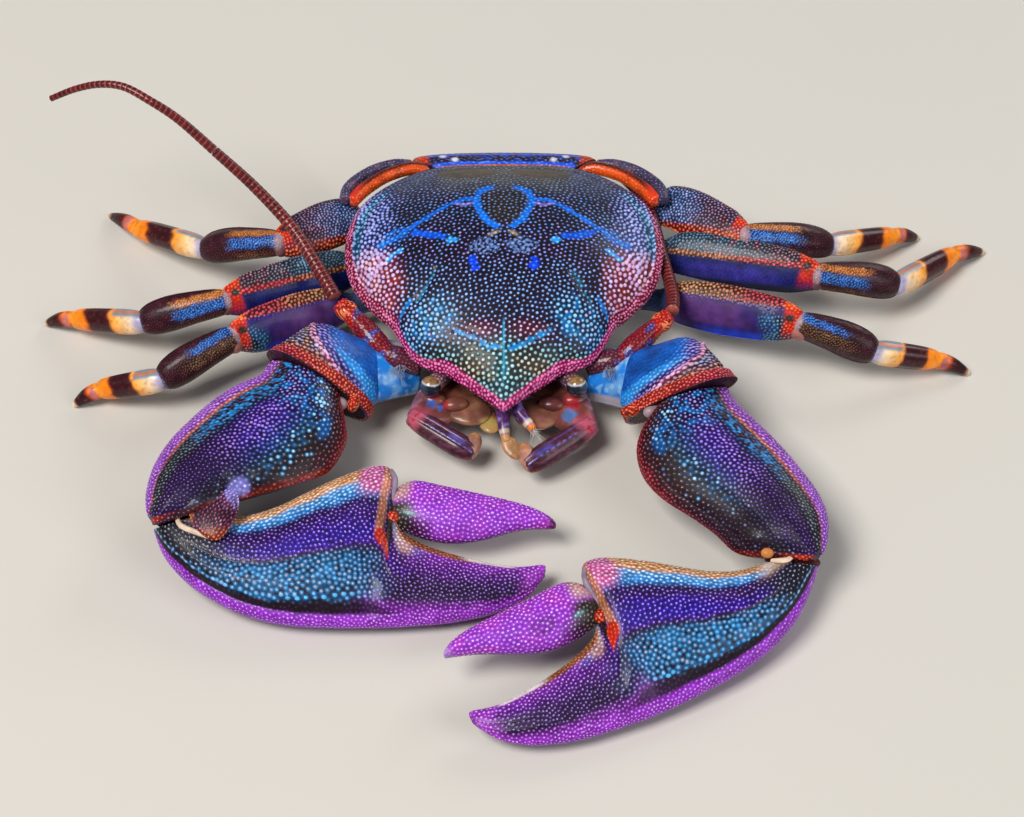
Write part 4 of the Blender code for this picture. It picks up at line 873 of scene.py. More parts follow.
def makeFinger(name, axes, wrist, side, seed):
    along, across, face = axes
    share = side["fingerShare"]
    stops = [17.8 + (stop - 17.8) * (1 - (1 - share) * 15 / 16.6) for stop in fingerFacts["stops"]]
    facts = dict(fingerFacts, stops=stops, inner=side["fingerTop"], outer=side["fingerLow"],
                 up=fingerFacts["thick"], down=fingerFacts["thick"])
    origin = wrist + along * facts["hinge"][0] + face * facts["hinge"][1]
    piece = clawShape(f"finger_{name}", axes, origin, facts, 1.0, 18, 8)
    reach, share, facing = clawPlaces(piece, axes, origin)
    end = stops[-1]
    top = ease(facing, -0.3, 0.2)
    size = 0.08 * (0.6 + 0.4 * top) * (1 - 0.6 * ease(reach, end - 2, end - 0.4)) * ease(reach, 18.8, 19.6)
    grains = addGrains(piece, 0.41, size, 0.05, seed)
    points = readPoints(piece)
    warp = wander(points, 2.5, seed) * 0.25
    coats = flatCoats(len(points), "#8024a4", "#a83cd0", "#dcb4f8")
    brush(coats, ease(wander(points, 1.6, seed + 4), -0.1, 0.5) * 0.7, "#9426a0", "#bc42c4", "#ecc0f0")
    brush(coats, blob(reach, share, 26.0, 0.5, 5.0, 0.35) * 0.4, "#6830b0", "#8c50dc", "#ccb4f8")
    dark = blob(reach, share, 20.2, 0.95, 3.6, 0.5)
    brush(coats, ease(dark + warp * 0.3, 0.3, 0.9), "#240c20", "#401440", "#b890c8")
    brush(coats, ease(share, 0.86, 0.98) * 0.6, "#4a1460", "#6c2888", "#b88cd4")
    if side["side"] > 0:
        ring = np.hypot(reach - 24.0, (share - 0.5) * 9)
        brush(coats, humpAt(ring, 1.0, 0.55) * 0.45, "#4c1c58", "#6c2c7c", "#b890c8")
        brush(coats, (1 - ease(ring, 0.6, 1.0)) * 0.3, "#4c1c58", "#7c3c8c", "#b890c8")
    neck = 1 - ease(reach + warp, 19.7, 20.9)
    brush(coats, neck * (1 - ease(share, 0.2, 0.5)) * 0.9, "#a07468", "#c49890", "#ecd0cc")
    brush(coats, (1 - ease(reach, 20.0, 21.6)) * ease(share, 0.3, 0.5), "#1c1818", "#38322f", "#887c78")
    brush(coats, blob(reach, share, 20.6, 0.6, 0.5, 0.04) * 1.2, "#4c7c80", "#6c9ca0", "#a8c8c8")
    hook = ease(reach, end - 1.3, end - 0.2)
    if side["side"] < 0:
        brush(coats, hook * 0.9, "#3c1028", "#581838", "#885070")
    else:
        brush(coats, hook * 0.8, "#9c70c0", "#b890dc", "#e0ccf4")
    brush(coats, (1 - top) * 0.4, "#6a4088", "#8a58a8", "#b094c8")
    lay(piece, coats, grains, 0.28, 0.58)
    done(piece, f"claw_finger_{name}")
    print("finger", name, grains["count"], "beads")


def makeArm(name, facts, seed):
    origin = np.array(facts["elbow"])
    axes = clawFrame(origin, facts["armEnd"], facts["armRoll"], (-facts["side"], 0.3, 0))
    shape = dict(armFacts, inner=facts["armInner"], outer=facts["armOuter"])
    piece = clawShape(f"arm_{name}", axes, origin, shape, 1.1, 24, 8)
    reach, share, facing = clawPlaces(piece, axes, origin, shape["rimAt"], shape["rimBreadth"])
    points, normals = readPoints(piece), readNormals(piece)
    top = ease(facing, -0.35, 0.05)
    relief = np.interp(share, *zip(*shape["relief"]))
    notched = facts["side"] < 0
    points = points + normals * (relief * top * ease(reach, 0.2, 2.5))[:, None]
    points = points + np.outer(0.25 * top * blob(reach, share, 16.3, 0.30, 1.8, 0.2), axes[2])
    notch = 1 - ease(seenFrom(points, lobeFacts["notch"]), 0.4, 2.0) if notched else 0 * share
    points = points - np.outer(0.6 * top * notch, axes[2])
    bent, turned = unit(facts["elbowNormal"]), unit(facts["wristNormal"])
    points = stopAt(points, np.array(facts["elbowPlane"]) + bent * 0.1, -bent, 0.2)
    points = stopAt(points, np.array(facts["wristPlane"]) - turned * 0.1, turned, 0.2)
    putPoints(piece, points)

    warp = wander(points, 2.4, seed) * 0.03 + wander(points, 0.7, seed + 1) * 0.012
    warp = warp * (1 - ease(share, 0.87, 0.92))
    along = share + warp
    rim = ease(along, 0.915, 0.925)
    streak = humpAt(along, 0.845, 0.075)
    flange = 1 - ease(share, 0.025, 0.05)
    calm = humpAt(along, 0.25, 0.2) * ease(reach, 1.5, 4.0)
    violet = humpAt(along, 0.62, 0.16)
    tail = ease(reach, 10.0, 14.0)
    gap = 0.43 + 0.12 * calm * (1 - tail) - 0.06 * tail * (1 - calm) - 0.06 * flange - 0.05 * rim
    size = 0.08 + 0.03 * violet * (1 - tail) + 0.01 * rim - 0.022 * tail + 0.01 * streak - 0.012 * calm
    size = size * (0.45 + 0.55 * top)
    lie = unit(axes[0] * 0.75 - axes[1] * 0.66) * np.ones((len(points), 1))
    grains = addGrains(piece, gap, size, 0.06 * (0.4 + 0.6 * top), seed, lie, 1 + 0.9 * streak + 0.4 * rim,
                       big=0.9 * humpAt(along, 0.3, 0.18))
    spot = ease(grains["chance"], 0.84, 0.86)

    coats = bandCoats(along, armFacts["bands"])
    patchy = ease(wander(points, 0.6, seed + 9), 0.0, 0.2)
    ridge = ease(reach, 1.0, 4.0) * (1 - ease(reach, 8.0, 13.0))
    brush(coats, violet * patchy * ridge * 0.5, "#281464", "#4428a0", "#a878f0")
    dusk = ease(reach + warp * 20, 7.0, 14.0) * (1 - rim)
    brush(coats, dusk * 0.85, "#180812", "#200c1c", "#7c549c")
    brush(coats, dusk * humpAt(along, 0.62, 0.2) * 0.5, "#1c0c34", "#28144c", "#9468d0")
    brush(coats, dusk * streak * 0.9, "#1a1618", "#202628", "#74848c")
    near = (1 - ease(reach, 1.5, 4.5)) * humpAt(along, 0.5, 0.42)
    brush(coats, near * 0.7, "#100c20", "#1c2c5c", "#a898d8")
    brush(coats, near * patchy, "#0c4484", "#1870c0", "#6cb0f0")
    brush(coats, ease(blob(reach, share, 2.6, 0.22, 1.8, 0.07) + warp * 5, 0.3, 0.8) * 0.8,
          "#0c4484", "#1874bc", "#8cc0ec")
    brush(coats, calm * patchy * (1 - tail) * humpAt(along, 0.36, 0.14) * 0.6, "#143c60", "#1c6498", None)
    brush(coats, humpAt(along, 0.3, 0.2) * spot * (1 - 0.8 * tail), None, "#3c88bc", "#a0d4f4")
    crumbs = ease(wander(points * (1, 1, 0.3), 0.42, seed + 6), 0.0, 0.12)
    brush(coats, streak * crumbs * (1 - dusk), "#1464a0", "#1c7cc4", "#3c98e4")
    brush(coats, streak * (1 - crumbs) * (1 - dusk), "#160a14", "#201424", "#4c3c64")
    brush(coats, flange * 0.6 * (1 - ease(reach, 3.0, 5.0)) + flange * ease(reach, 8.0, 12.0) * 0.4,
          "#5c1018", "#a0202c", "#e05858")
    seam = humpAt(share, 0.918, 0.012) * ease(reach, 2.0, 5.0) * (1 - ease(reach, 12.0, 17.0))
    brush(coats, seam * 0.8, "#9c4c40", "#b87060", "#e0a890")
    if notched:
        brush(coats, ease(notch + warp * 3, 0.45, 0.95), "#6c68b8", "#9490d8", "#d4ccf8")
        lobe = humpAt(reach, 9.6, 2.4) * (1 - ease(share, 0.04, 0.08)) * ease(reach, 7.0, 9.0)
        brush(coats, lobe, "#7a5cac", "#a484d4", "#d8bcf0")
    end = ease(-(np.array(facts["wristPlane"]) - points) @ turned, -0.9, -0.5) * ease(facing, -0.2, 0.2)
    brush(coats, end * humpAt(share, facts["endRed"][0], facts["endRed"][1]), "#8c1c0c", "#c43c18", "#f48850")
    brush(coats, end * (1 - ease(share, 0.0, 0.5)) * 0.7, "#6c140c", "#a03018", "#d07048")
    brush(coats, (1 - ease(facing, -0.75, -0.45)) * 0.9, "#4c4668", "#5c567c", "#7c789c")
    lay(piece, coats, grains, 0.22, 0.47)

    arc = tubeLimb("arc", facts["arc"], ((0, 0.2), (1, 0.3), (2, 0.3), (3, 0.18)), 10, 2)
    extras = [
        coatPiece(makeBall("knob", *facts["knob"]), *redBeads, size=0.09, lift=0.05, seed=0),
        coatPiece(makeBall("hinge", facts["hinge"], (0.6, 0.5, 0.45)), "#d88848"),
        coatPiece(arc, "#d8c0a8"),
        coatPiece(makeBall("wristSkin", facts["wristSkin"], (2.6, 0.7, 1.2), facts["skinTurn"]), "#542820"),
    ]
    if notched:
        extras.append(makeLobe())
    joinInto(piece, *extras)
    done(piece, f"claw_arm_{name}")
    print("arm", name, grains["count"], "beads", len(piece.data.polygons), "faces")


def makeLobe():  # lies over the right palm
    across, tall = np.array((1, 0.12, 0.1)), np.array((0, -0.35, 0.94))
    rings = [section(np.array((x, y, z)), across, tall, wide, thick, thick, topAngles(6, 4))
             for x, y, z, wide, thick in lobeFacts["rings"]]
    piece = smoothOut(cage("lobe", rings), 4)
    points = readPoints(piece)
    grains = addGrains(piece, 0.34, 0.06, 0.03, 9, unit((0.5, 0.8, 0.1)) * np.ones((len(points), 1)), 1.8)
    coats = flatCoats(len(points), "#1c0812", "#30101e", "#8c3468")
    fibres = wander(points @ np.array(((2.5, 0, 0), (0.9, 0.4, 0), (0, 0, 1))), 0.5, 4)
    brush(coats, ease(fibres, 0.05, 0.35) * 0.7, "#4c1c34", "#6c3450", "#c088b0")
    brush(coats, ease(-points[:, 1], 29.2, 30.3), "#5c1810", "#a03c18", "#e08850")
    brush(coats, 1 - ease(seenFrom(points, lobeFacts["notch"]) + fibres, 0.9, 2.2),
          "#6458a4", "#8880cc", "#c8bcf0")
    brush(coats, ease(-points[:, 0], 28.4, 29.0) * 0.9, "#a8501c", "#d08048", "#f0c098")
    lay(piece, coats, grains)
    return piece


def makeClawBase(name, facts, seed):
    side = facts["side"]
    root = np.array(facts["root"])
    hip = np.array((side * 8.6, root[1] + 1.3, 3.6))
    base = ovalLimb(f"clawBase_{name}", hip, root, (0, -0.35, 0.94), fineForm(clawBaseForm, 12), 24, 3)
    points, normals = readPoints(base), readNormals(base)
    coats = flatCoats(len(points), "#1878d0")
    brush(coats, ease(wander(points, 1.6, seed), 0.0, 0.35) * 0.6, "#78acd8")
    brush(coats, ease(wander(points, 0.5, seed + 1), 0.1, 0.4) * 0.4, "#a8d0ec")
    brush(coats, humpAt(np.abs(points[:, 0]), 12.3, 0.6) * ease(normals[:, 2], 0.2, 0.6) * 0.8, "#8cb4d8")
    low = ease(-normals[:, 1] - normals[:, 2] * 0.6, 0.45, 0.75)
    brush(coats, low, "#a8a0ac")
    brush(coats, ease(-points[:, 2], -3.4, -2.4), "#b8a094")
    lay(base, coats)
    done(base, f"claw_base_{name}")

def makeClawMerus(name, facts, seed):
    side = facts["side"]
    face = (side * -0.50, -0.28, 0.84)
    form = fineForm(clawMerusForm, 18)
    merus = ovalLimb(f"clawMerus_{name}", facts["root"], facts["elbow"], face, form, 32, 3)
    points, normals = readPoints(merus), readNormals(merus)
    bent = unit(facts["elbowNormal"])
    spot = np.array(facts["elbowPlane"]) - bent * 0.1
    toCut = (spot - points) @ bent
    collar = ease(toCut, -0.9, -0.5) * (1 - ease(toCut, 1.05, 1.3))
    points = points + normals * (0.26 * collar - 0.15 * humpAt(toCut, 1.5, 0.4))[:, None]
    points = stopAt(points, spot, bent, 0.3)
    flat = [(p[0], p[1]) for p in facts["ridge"]]
    seenX, seenY = points[:, 0], points[:, 1] + (points[:, 2] - 7.6) * 0.84
    far = strokeDistance(seenX, seenY, flat)
    along = np.interp(seenY, [p[1] for p in flat[::-1]], [p[0] for p in flat[::-1]])
    beside = (along - seenX) * side  # grows towards the body
    upper = ease(normals[:, 2], -0.2, 0.2)
    ridge = (1 - ease(far, 0.15, 0.4)) * (1 - collar) * upper
    points = points + normals * (0.2 * ridge)[:, None]
    putPoints(merus, points)

    size = (0.10 + 0.05 * ridge) * (1 - 0.95 * ease(beside, 1.4, 3.2)) * (1 - 0.1 * collar)
    lie = unit(np.cross(bent, (0, 0, 1))) * np.ones((len(points), 1))
    woven = (1 - ease(beside, -0.1, 0.6)) * (1 - collar)
    gap = 0.42 + 0.10 * ridge - 0.08 * collar
    grains = addGrains(merus, gap, size, 0.06, seed + 5, lie, 1 + 0.9 * (1 - collar))
    coats = flatCoats(len(points), "#20101a", "#4c3448", "#a08cb4")
    blotch = wander(points, 0.9, seed)
    brush(coats, woven * ease(blotch, -0.05, 0.25) * 0.8, "#301810", "#6c402c", "#d0bca8")
    brush(coats, woven * ease(-blotch, 0.05, 0.35) * 0.7, "#142438", "#30547c", "#acbcd8")
    brush(coats, woven * ease(-toCut, -2.4, -1.3) * 0.9, "#3c1014", "#7c2820", "#c88060")
    brush(coats, ease(beside, 0.0, 0.7), "#1c1440", "#38449c", "#a48cd8")
    brush(coats, ease(beside, 0.9, 2.2), "#0c489c", "#125cb8", "#6c94e0")
    brush(coats, ease(beside, 2.4, 4.5) * ease(wander(points, 2.0, seed + 2), -0.3, 0.3) * 0.6,
          "#082c64", "#0c387c", "#3a70b0")
    brush(coats, humpAt(beside, 1.9, 0.9) * humpAt(toCut, 2.4, 1.6) * 0.8, "#1884d8", "#2c98e8", "#8cc8f8")
    brush(coats, ridge, "#4c1828", "#8c4068", "#e4b0dc")
    brush(coats, ease(-points[:, 2], -4.4, -3.2), "#98888c", "#98888c", "#98888c")
    brush(coats, collar, "#74120f", "#b82c20", "#f08068")
    brush(coats, collar * ease(-beside, 1.0, 3.5) * 0.5, "#601024", "#981c3c", "#d86098")
    brush(coats, 1 - ease(toCut, -1.1, -0.7), "#3c1828", "#3c1828", "#3c1828")
    lay(merus, coats, grains, 0.24, 0.5)
    skin = coatPiece(makeBall("skin", facts["elbowSkin"], (0.95, 0.65, 0.65), 20 * side), "#9c8890")
    knob = makeBall("knob", facts["elbowKnob"], facts["knobRadii"], 15 * side)
    joinInto(merus, skin, coatPiece(knob, *redBeads, size=0.09, seed=8))
    done(merus, f"claw_merus_{name}")
    print("claw merus", name, grains["count"], "beads", len(merus.data.polygons), "faces")


legJoints = {
    "leg_4_left": ((11.6, 11.8, 4.2), (14.3, 12.0, 4.6), (17.0, 12.1, 6.7), (24.3, 6.5, 8.0),
                   (33.6, 8.6, 4.6), (40.7, 12.4, 2.0), (43.8, 13.9, 0.15)),
    "leg_3_left": ((12.6, 7.6, 3.8), (15.6, 7.2, 4.3), (18.6, 6.3, 5.7), (31.3, 2.0, 7.0),
                   (39.9, 3.2, 4.4), (46.7, 9.8, 1.9), (50.5, 11.9, 0.15)),
    "leg_2_left": ((12.6, 2.4, 3.5), (15.6, 1.4, 4.0), (18.4, 0.0, 5.1), (29.2, -3.9, 6.4),
                   (36.8, -5.7, 4.2), (43.3, -4.7, 1.9), (46.9, -5.1, 0.15)),
    "leg_4_right": ((-11.6, 11.0, 4.2), (-13.8, 11.1, 4.8), (-16.0, 10.2, 6.8), (-22.6, 5.6, 8.0),
                    (-30.9, 8.1, 4.6), (-38.6, 13.6, 2.0), (-42.2, 17.3, 0.15)),
    "leg_3_right": ((-12.6, 6.2, 3.8), (-14.8, 5.4, 4.3), (-17.2, 4.0, 5.5), (-27.6, -0.8, 6.4),
                    (-36.3, -1.9, 4.4), (-43.6, 0.8, 1.9), (-47.1, 1.7, 0.15)),
    "leg_2_right": ((-12.4, 2.4, 3.5), (-15.2, 1.0, 3.9), (-17.9, -0.6, 4.9), (-26.6, -5.4, 6.2),
                    (-33.7, -9.3, 4.2), (-40.0, -8.6, 1.9), (-42.9, -9.3, 0.15)),
}
legFaces = {"leg_4": (0.0, -0.5, 0.87), "leg_3": (0.0, -0.72, 0.69), "leg_2": (0.0, -0.8, 0.6)}
merusBreadth = ((0.0, 1.3), (1.0, 1.15), (1.5, 1.7), (2.0, 2.35), (2.4, 2.65), (2.8, 2.3), (3.0, 2.1))
merusThickness = ((0.0, 1.1), (1.0, 1.05), (2.0, 1.1), (2.5, 1.2), (3.0, 1.1))
carpusForm = ((-0.08, 0.9, 0.8), (0.0, 1.3, 1.1), (0.12, 1.5, 1.2), (0.35, 1.68, 1.3), (0.65, 1.88, 1.4),
              (0.88, 1.72, 1.3), (1.0, 1.3, 1.05), (1.05, 0.8, 0.7))
propodusForm = ((-0.1, 0.9, 0.8), (0.1, 1.3, 1.15), (0.45, 1.3, 1.1), (0.8, 1.2, 1.0), (1.0, 1.0, 0.85),
                (1.06, 0.7, 0.6))
dactylForm = ((-0.12, 0.6, 0.55), (0.0, 0.85, 0.78), (0.1, 0.9, 0.8), (0.45, 0.8, 0.7), (0.8, 0.5, 0.45),
              (0.95, 0.34, 0.3), (1.0, 0.2, 0.18))
legBands = {  # along the third piece and the tip
    "propodus": ((0.0, "#a8a0c0"), (0.07, "#e8d0b8"), (0.14, "#f5cfa0"), (0.26, "#f8b868"), (0.36, "#f89c30"),
                 (0.40, "#4c1018"), (0.46, "#340a14"), (0.70, "#340a14"), (0.75, "#541410"), (0.79, "#f07c10"),
                 (1.0, "#ff9a20")),
    "dactyl": ((0.0, "#f88c18"), (0.2, "#f07818"), (0.3, "#a84018"), (0.36, "#4c1018"), (0.45, "#300a12"),
               (0.78, "#2c0a10"), (0.84, "#a87860"), (0.9, "#e4c8a8"), (1.0, "#f4e6d0")),
}


def legMerusShape(name, joints, face):
    pastKnee = np.array(joints[3]) * 1.04 - np.array(joints[2]) * 0.04
    line = smoothLine([*joints[:3], pastKnee], 16)
    _, wide, tall = limbFrame(joints[1], joints[3], face)
    breadth, thickness = curveOf(merusBreadth), curveOf(merusThickness)
    rings = []
    for i in (*range(0, 32, 6), *range(32, 49)):  # more rings along the blade
        close = 1 - 0.35 * max(0, (i / 16 - 2.8) / 0.2)
        thick = float(thickness(i / 16)) * close
        broad = float(breadth(i / 16)) * close
        rings.append(section(line[i], wide, tall, broad, thick, thick, roundAngles(14)))
    return smoothOut(cage(f"{name}_merusSkin", rings), 3)


def legAxes(start, end, face):  # as limbFrame, with the breadth towards the leg's back edge
    along, wide, tall = limbFrame(start, end, face)
    return along, -wide if wide[1] < 0 else wide, tall


def onFloor(piece):
    points = readPoints(piece)
    points[:, 2] = np.maximum(points[:, 2], 0.0)
    putPoints(piece, points)


def makeLegMerus(name, joints, seed):
    face, number = legFaces[name[:5]], name[4]
    neck, shoulder, knee, ankle = (np.array(j) for j in joints[1:5])
    piece = legMerusShape(name, joints, face)
    points = readPoints(piece)
    along, wide, _ = legAxes(neck, knee, face)
    reach = np.clip((points - neck) @ along / np.linalg.norm(knee - neck), 0, 1)
    out = (points - shoulder) @ wide / 2.5
    warp = wander(points, 1.5, seed) * 0.12
    spots = ease(wander(points, 0.7, seed + 1), 0.05, 0.3)
    size = np.full(len(points), 0.085)
    lower = ease(reach + warp, 0.70, 0.86) * (1 - ease(out, -0.1, 0.4))
    count = len(points)
    if number == "4":
        coats = flatCoats(count, "#1c2444", "#3c5890", "#88a0d8")
        brush(coats, spots * 0.6, "#2c3c6c", "#5478b8", "#c8d4f8")
        brush(coats, ease(reach + warp, 0.35, 0.7), "#281824", "#4c3850", "#a084b0")
        brush(coats, ease(reach + warp, 0.55, 0.85) * spots * 0.8, "#34161c", "#6c3038", "#b87480")
        brush(coats, ease(out, 0.55, 0.9) * 0.7, "#2c1c1c", "#5c3c34", "#94705c")
        bead = ease(-out, 0.62, 0.82)
        brush(coats, bead, "#5c1410", "#a02c1c", "#ec7850")
    elif number == "3":
        coats = flatCoats(count, "#182430", "#345068", "#6c8ca4")
        brush(coats, ease(reach + warp, 0.45, 0.8), "#241820", "#483844", "#94808c")
        brush(coats, spots * ease(reach, 0.2, 0.5) * 0.6, "#3c1420", "#7c3444", "#d08498")
        brush(coats, ease(-out, -0.02, 0.12), "#10164c", "#182068", "#343c90")
        if name.endswith("left"):
            brush(coats, ease(-out, 0.1, 0.4) * humpAt(reach, 0.5, 0.4) * 0.6,
                  "#38308c", "#443ca0", "#5c54b4")
        brush(coats, ease(-out, 0.75, 0.95), "#0c1028", "#10142c", "#242848")
        bead = humpAt(out, 0.08, 0.15)
        brush(coats, bead, "#4c1c10", "#94502c", "#cc8858")
        brush(coats, bead * ease(reach + warp, 0.35, 0.7), "#5c0c18", "#98182c", "#dc4454")
        size = size * (0.1 + 0.9 * ease(out, -0.1, 0.02))
    else:
        coats = flatCoats(count, "#2c1c60", "#2c1c60", "#5c489c")
        brush(coats, humpAt(reach + warp, 0.4, 0.35) * humpAt(out, -0.1, 0.7) * 0.9, "#54306c", "#54306c")
        brush(coats, ease(-out, 0.55, 0.9) * ease(reach, 0.2, 0.5), "#1c38b8", "#1c38b8", "#3c68d8")
        brush(coats, lower, "#141424", "#34505c", "#80a0b4")
        brush(coats, lower * (1 - ease(reach + warp, 0.84, 0.92)) * 0.7, "#1c3c70", "#3c80b0", "#6ca4c4")
        bead = ease(out, 0.42, 0.55)
        brush(coats, bead, "#34180f", "#7c4830", "#c48c60")
        brush(coats, bead * ease(reach + warp, 0.35, 0.7), "#3c0c14", "#781c24", "#c04450")
        size = size * np.maximum(ease(out, 0.3, 0.45), 0.85 * lower)
    brush(coats, 1 - ease(reach, 0.0, 0.15), "#38486c", "#4c6088", "#8c98ac")
    corner = ease(reach + 0.03 * np.abs(out), 0.90, 0.94)
    brush(coats, corner * ease(out, -1.0, -0.2), "#a81c0c", "#d8321a", "#f86838")
    brush(coats, corner * ease(out, 0.3, 0.7), "#c83c0c", "#f05c1c", "#ff9048")
    dot = np.hypot((reach - 0.95) * 12, (out - 0.1) * 2.5)
    brush(coats, 1 - ease(dot, 0.25, 0.5), "#30201c", "#30201c", "#584440")
    grains = addGrains(piece, 0.34 + 0.06 * bead, size + 0.045 * bead, 0.04 + 0.05 * bead, seed)
    lay(piece, coats, grains, 0.22, 0.5)
    soft = number == "2"
    ball = 0.95 if soft else 0.75
    joint = makeBall("joint", knee + (ankle - knee) * 0.02 - wide * 0.7, (ball, ball, ball))
    joinInto(piece, coatPiece(joint, "#a86c64" if soft else "#6c444c"))
    done(piece, f"{name}_merus")


def makeLegCarpus(name, joints, seed):
    face = legFaces[name[:5]]
    knee, ankle = (np.array(j) for j in joints[3:5])
    carpus = ovalLimb(f"{name}_carpusSkin", knee, ankle, face, fineForm(carpusForm, 11), 14, 3, 0.3)
    points = readPoints(carpus)
    along, wide, tall = legAxes(knee, ankle, face)
    reach = (points - knee) @ along / np.linalg.norm(ankle - knee)
    out = (points - knee) @ wide / 1.7
    facing = (points - knee) @ tall / 1.3
    coats = flatCoats(len(points), "#1c0a10", "#30101a", "#54202c")
    brush(coats, ease(wander(points, 0.8, seed), 0.0, 0.3) * 0.5, "#2c1018", "#48182c", "#743048")
    warp = wander(points, 0.5, seed) * 0.2
    upper = ease(facing, -0.1, 0.2)
    end = 1 - ease(reach + warp * 0.4, 0.48, 0.66)
    if name[4] == "2":
        azure = humpAt(out + warp * 0.6, 0.52, 0.30) * upper * end
        brush(coats, (1 - ease(reach, 0.55, 0.85)) * humpAt(out, -0.1, 0.5) * upper * 0.8,
              "#2c1810", "#4c3020", "#947454")
    else:
        azure = humpAt(out + warp * 0.6 + 0.25 * reach, 0.0, 0.45) * upper * end
        tan = humpAt(out + warp * 0.5, 0.55, 0.30) * upper * end
        brush(coats, tan, "#7c4020", "#b86c34", "#d89858")
        brush(coats, (1 - ease(reach, 0.3, 0.7)) * ease(-out, 0.45, 0.8) * 0.8,
              "#3c1c14", "#6c3c24", "#9c6c48")
    brush(coats, azure, "#10204c", "#3068c0", "#5894e4")
    brush(coats, ease(reach, 0.96, 1.0) * 0.8, "#5c5470", "#7c7490", "#a098b0")
    brush(coats, 1 - ease(reach, -0.02, 0.03), "#a08088", "#a08088", "#c0a8ac")
    grains = addGrains(carpus, 0.26, 0.058, 0.025, seed + 1)
    lay(carpus, coats, grains, 0.3, 0.56)
    done(carpus, f"{name}_carpus")

def makeLegEnds(name, joints, seed):
    face = legFaces[name[:5]]
    ankle, wrist, tip = (np.array(j) for j in joints[4:])
    for part, start, end, form, sides, lift in (
        ("propodus", ankle, wrist, propodusForm, 18, 0.0), ("dactyl", wrist, tip, dactylForm, 16, 0.25),
    ):
        piece = ovalLimb(f"{name}_{part}Skin", start, end, face, fineForm(form, 12), sides, 2, lift)
        points = readPoints(piece)
        along, wide, _ = legAxes(start, end, face)
        reach = (points - start) @ along / np.linalg.norm(end - start)
        out = (points - start) @ wide / 1.3
        warp = wander(points, 0.9, seed) * 0.05 - 0.05 * out
        ground = bandPaint(reach + warp, legBands[part])
        wash(ground, ease(wander(points, 0.35, seed + 3), 0.25, 0.45) * 0.35, "#7c3c20")
        if part == "propodus":
            patch = ease(out, 0.3, 0.6) * (1 - ease(reach, 0.34, 0.4))
            wash(ground, patch, "#7c8c98")
            wash(ground, humpAt(out, 0.78, 0.12) * (1 - ease(reach, 0.34, 0.4)) * 0.8, "#d87030")
        else:
            dot = np.hypot((reach - 0.17) * 7, out * 1.2)
            wash(ground, (1 - ease(dot, 0.5, 0.9)) * 0.8, "#b06870")
            onFloor(piece)
        lay(piece, [ground])
        done(piece, f"{name}_{part}")


fifthFacts = dict(
    arm=((6.6, 13.8, 6.4), (8.6, 16.4, 7.8), (11.7, 15.3, 8.3), (14.2, 13.0, 8.5), (15.6, 10.6, 8.8)),
    hand=((16.3, 10.6, 9.0), (15.9, 13.2, 8.5), (13.9, 15.7, 8.1), (11.6, 17.1, 7.8), (9.6, 17.6, 7.6)),
    armRadii=((0, 0.7), (1, 0.7), (3, 0.75), (4, 0.7)), handRadii=((0, 0.6), (1, 0.62), (3, 0.6), (4, 0.35)),
)
feelerFacts = dict(
    right=((-16.7, -2.2, 8.5), (-18.7, 1.2, 9.6), (-21.2, 4.8, 11.2), (-24.9, 7.8, 13.8), (-28.7, 10.1, 16.4),
           (-32.3, 12.2, 18.8), (-35.2, 13.4, 20.3), (-37.8, 14.7, 20.9), (-40.3, 15.4, 20.6), (-42.9, 15.8, 19.6),
           (-45.6, 15.9, 18.2)),
    left=((16.6, -3.6, 8.0), (16.8, -1.4, 7.5), (16.6, 1.2, 7.0), (16.2, 4.0, 6.7), (15.8, 7.0, 6.6),
          (15.3, 9.8, 6.9), (14.6, 12.4, 7.0), (13.3, 15.2, 6.5), (11.4, 18.3, 5.6), (8.2, 20.7, 4.7),
          (3.0, 21.3, 3.9), (-2.5, 21.3, 3.3)),
    root=0.68, tip=0.3, ring=0.56, step=0.08, sides=16,
    base=dict(right=((8.0, -8.6, 5.4), (11.4, -7.6, 6.2), (14.2, -4.8, 7.4), (16.3, -2.8, 8.2)),
              left=((8.0, -8.6, 5.4), (11.4, -8.2, 6.2), (14.2, -6.0, 7.3), (16.3, -4.1, 7.9))),
    baseRadii=((0, 1.0), (0.8, 1.2), (1.0, 0.95), (1.4, 1.2), (2.1, 1.0), (2.3, 0.9), (3, 0.85)),
)
mouthFacts = dict(
    hinge=(4.8, -10.0, 3.2), face=(0, -0.3, 0.95),
    legs=dict(right=((8.4, -14.1, 3.7), (3.3, -17.4, 2.9), (2.7, -15.6, 3.2)),
              left=((8.0, -15.1, 3.6), (2.6, -18.9, 2.9), (1.9, -16.9, 3.2))),
    plateForm=((-0.3, 1.6, 0.7), (0.1, 2.2, 0.8), (0.55, 2.3, 0.85), (0.9, 1.5, 0.9), (1.1, 1.0, 0.8)),
    barForm=((-0.16, 0.8, 0.7), (0.08, 1.15, 1.0), (0.5, 1.25, 1.05), (0.88, 1.2, 1.0), (1.1, 0.7, 0.6)),
    handForm=((-0.3, 0.6, 0.5), (0.1, 0.9, 0.8), (0.7, 0.85, 0.75), (1.1, 0.45, 0.4)),
    lobes=(((6.9, -11.8, 4.2), (1.3, 0.9, 0.7), 10), ((4.7, -12.3, 4.0), (1.3, 0.8, 0.65), -8)),
    marks=dict(right=(((-7.0, -11.6, 4.6), 0.5, "#b01c30"), ((-5.7, -12.7, 4.4), 0.4, "#a81c2c"),
                      ((-7.1, -12.4, 4.2), 0.45, "#2468c8"), ((-6.2, -12.8, 4.2), 0.3, "#2468c8"),
                      ((-1.6, -14.4, 3.0), 0.8, "#b49450")),
               left=(((6.6, -12.6, 4.6), 0.85, "#a0182c"), ((6.4, -13.9, 4.2), 0.7, "#3878b8"),
                     ((7.2, -14.7, 4.0), 0.5, "#c87838"), ((4.6, -12.4, 4.4), 1.2, "#4c1c28"))),
)
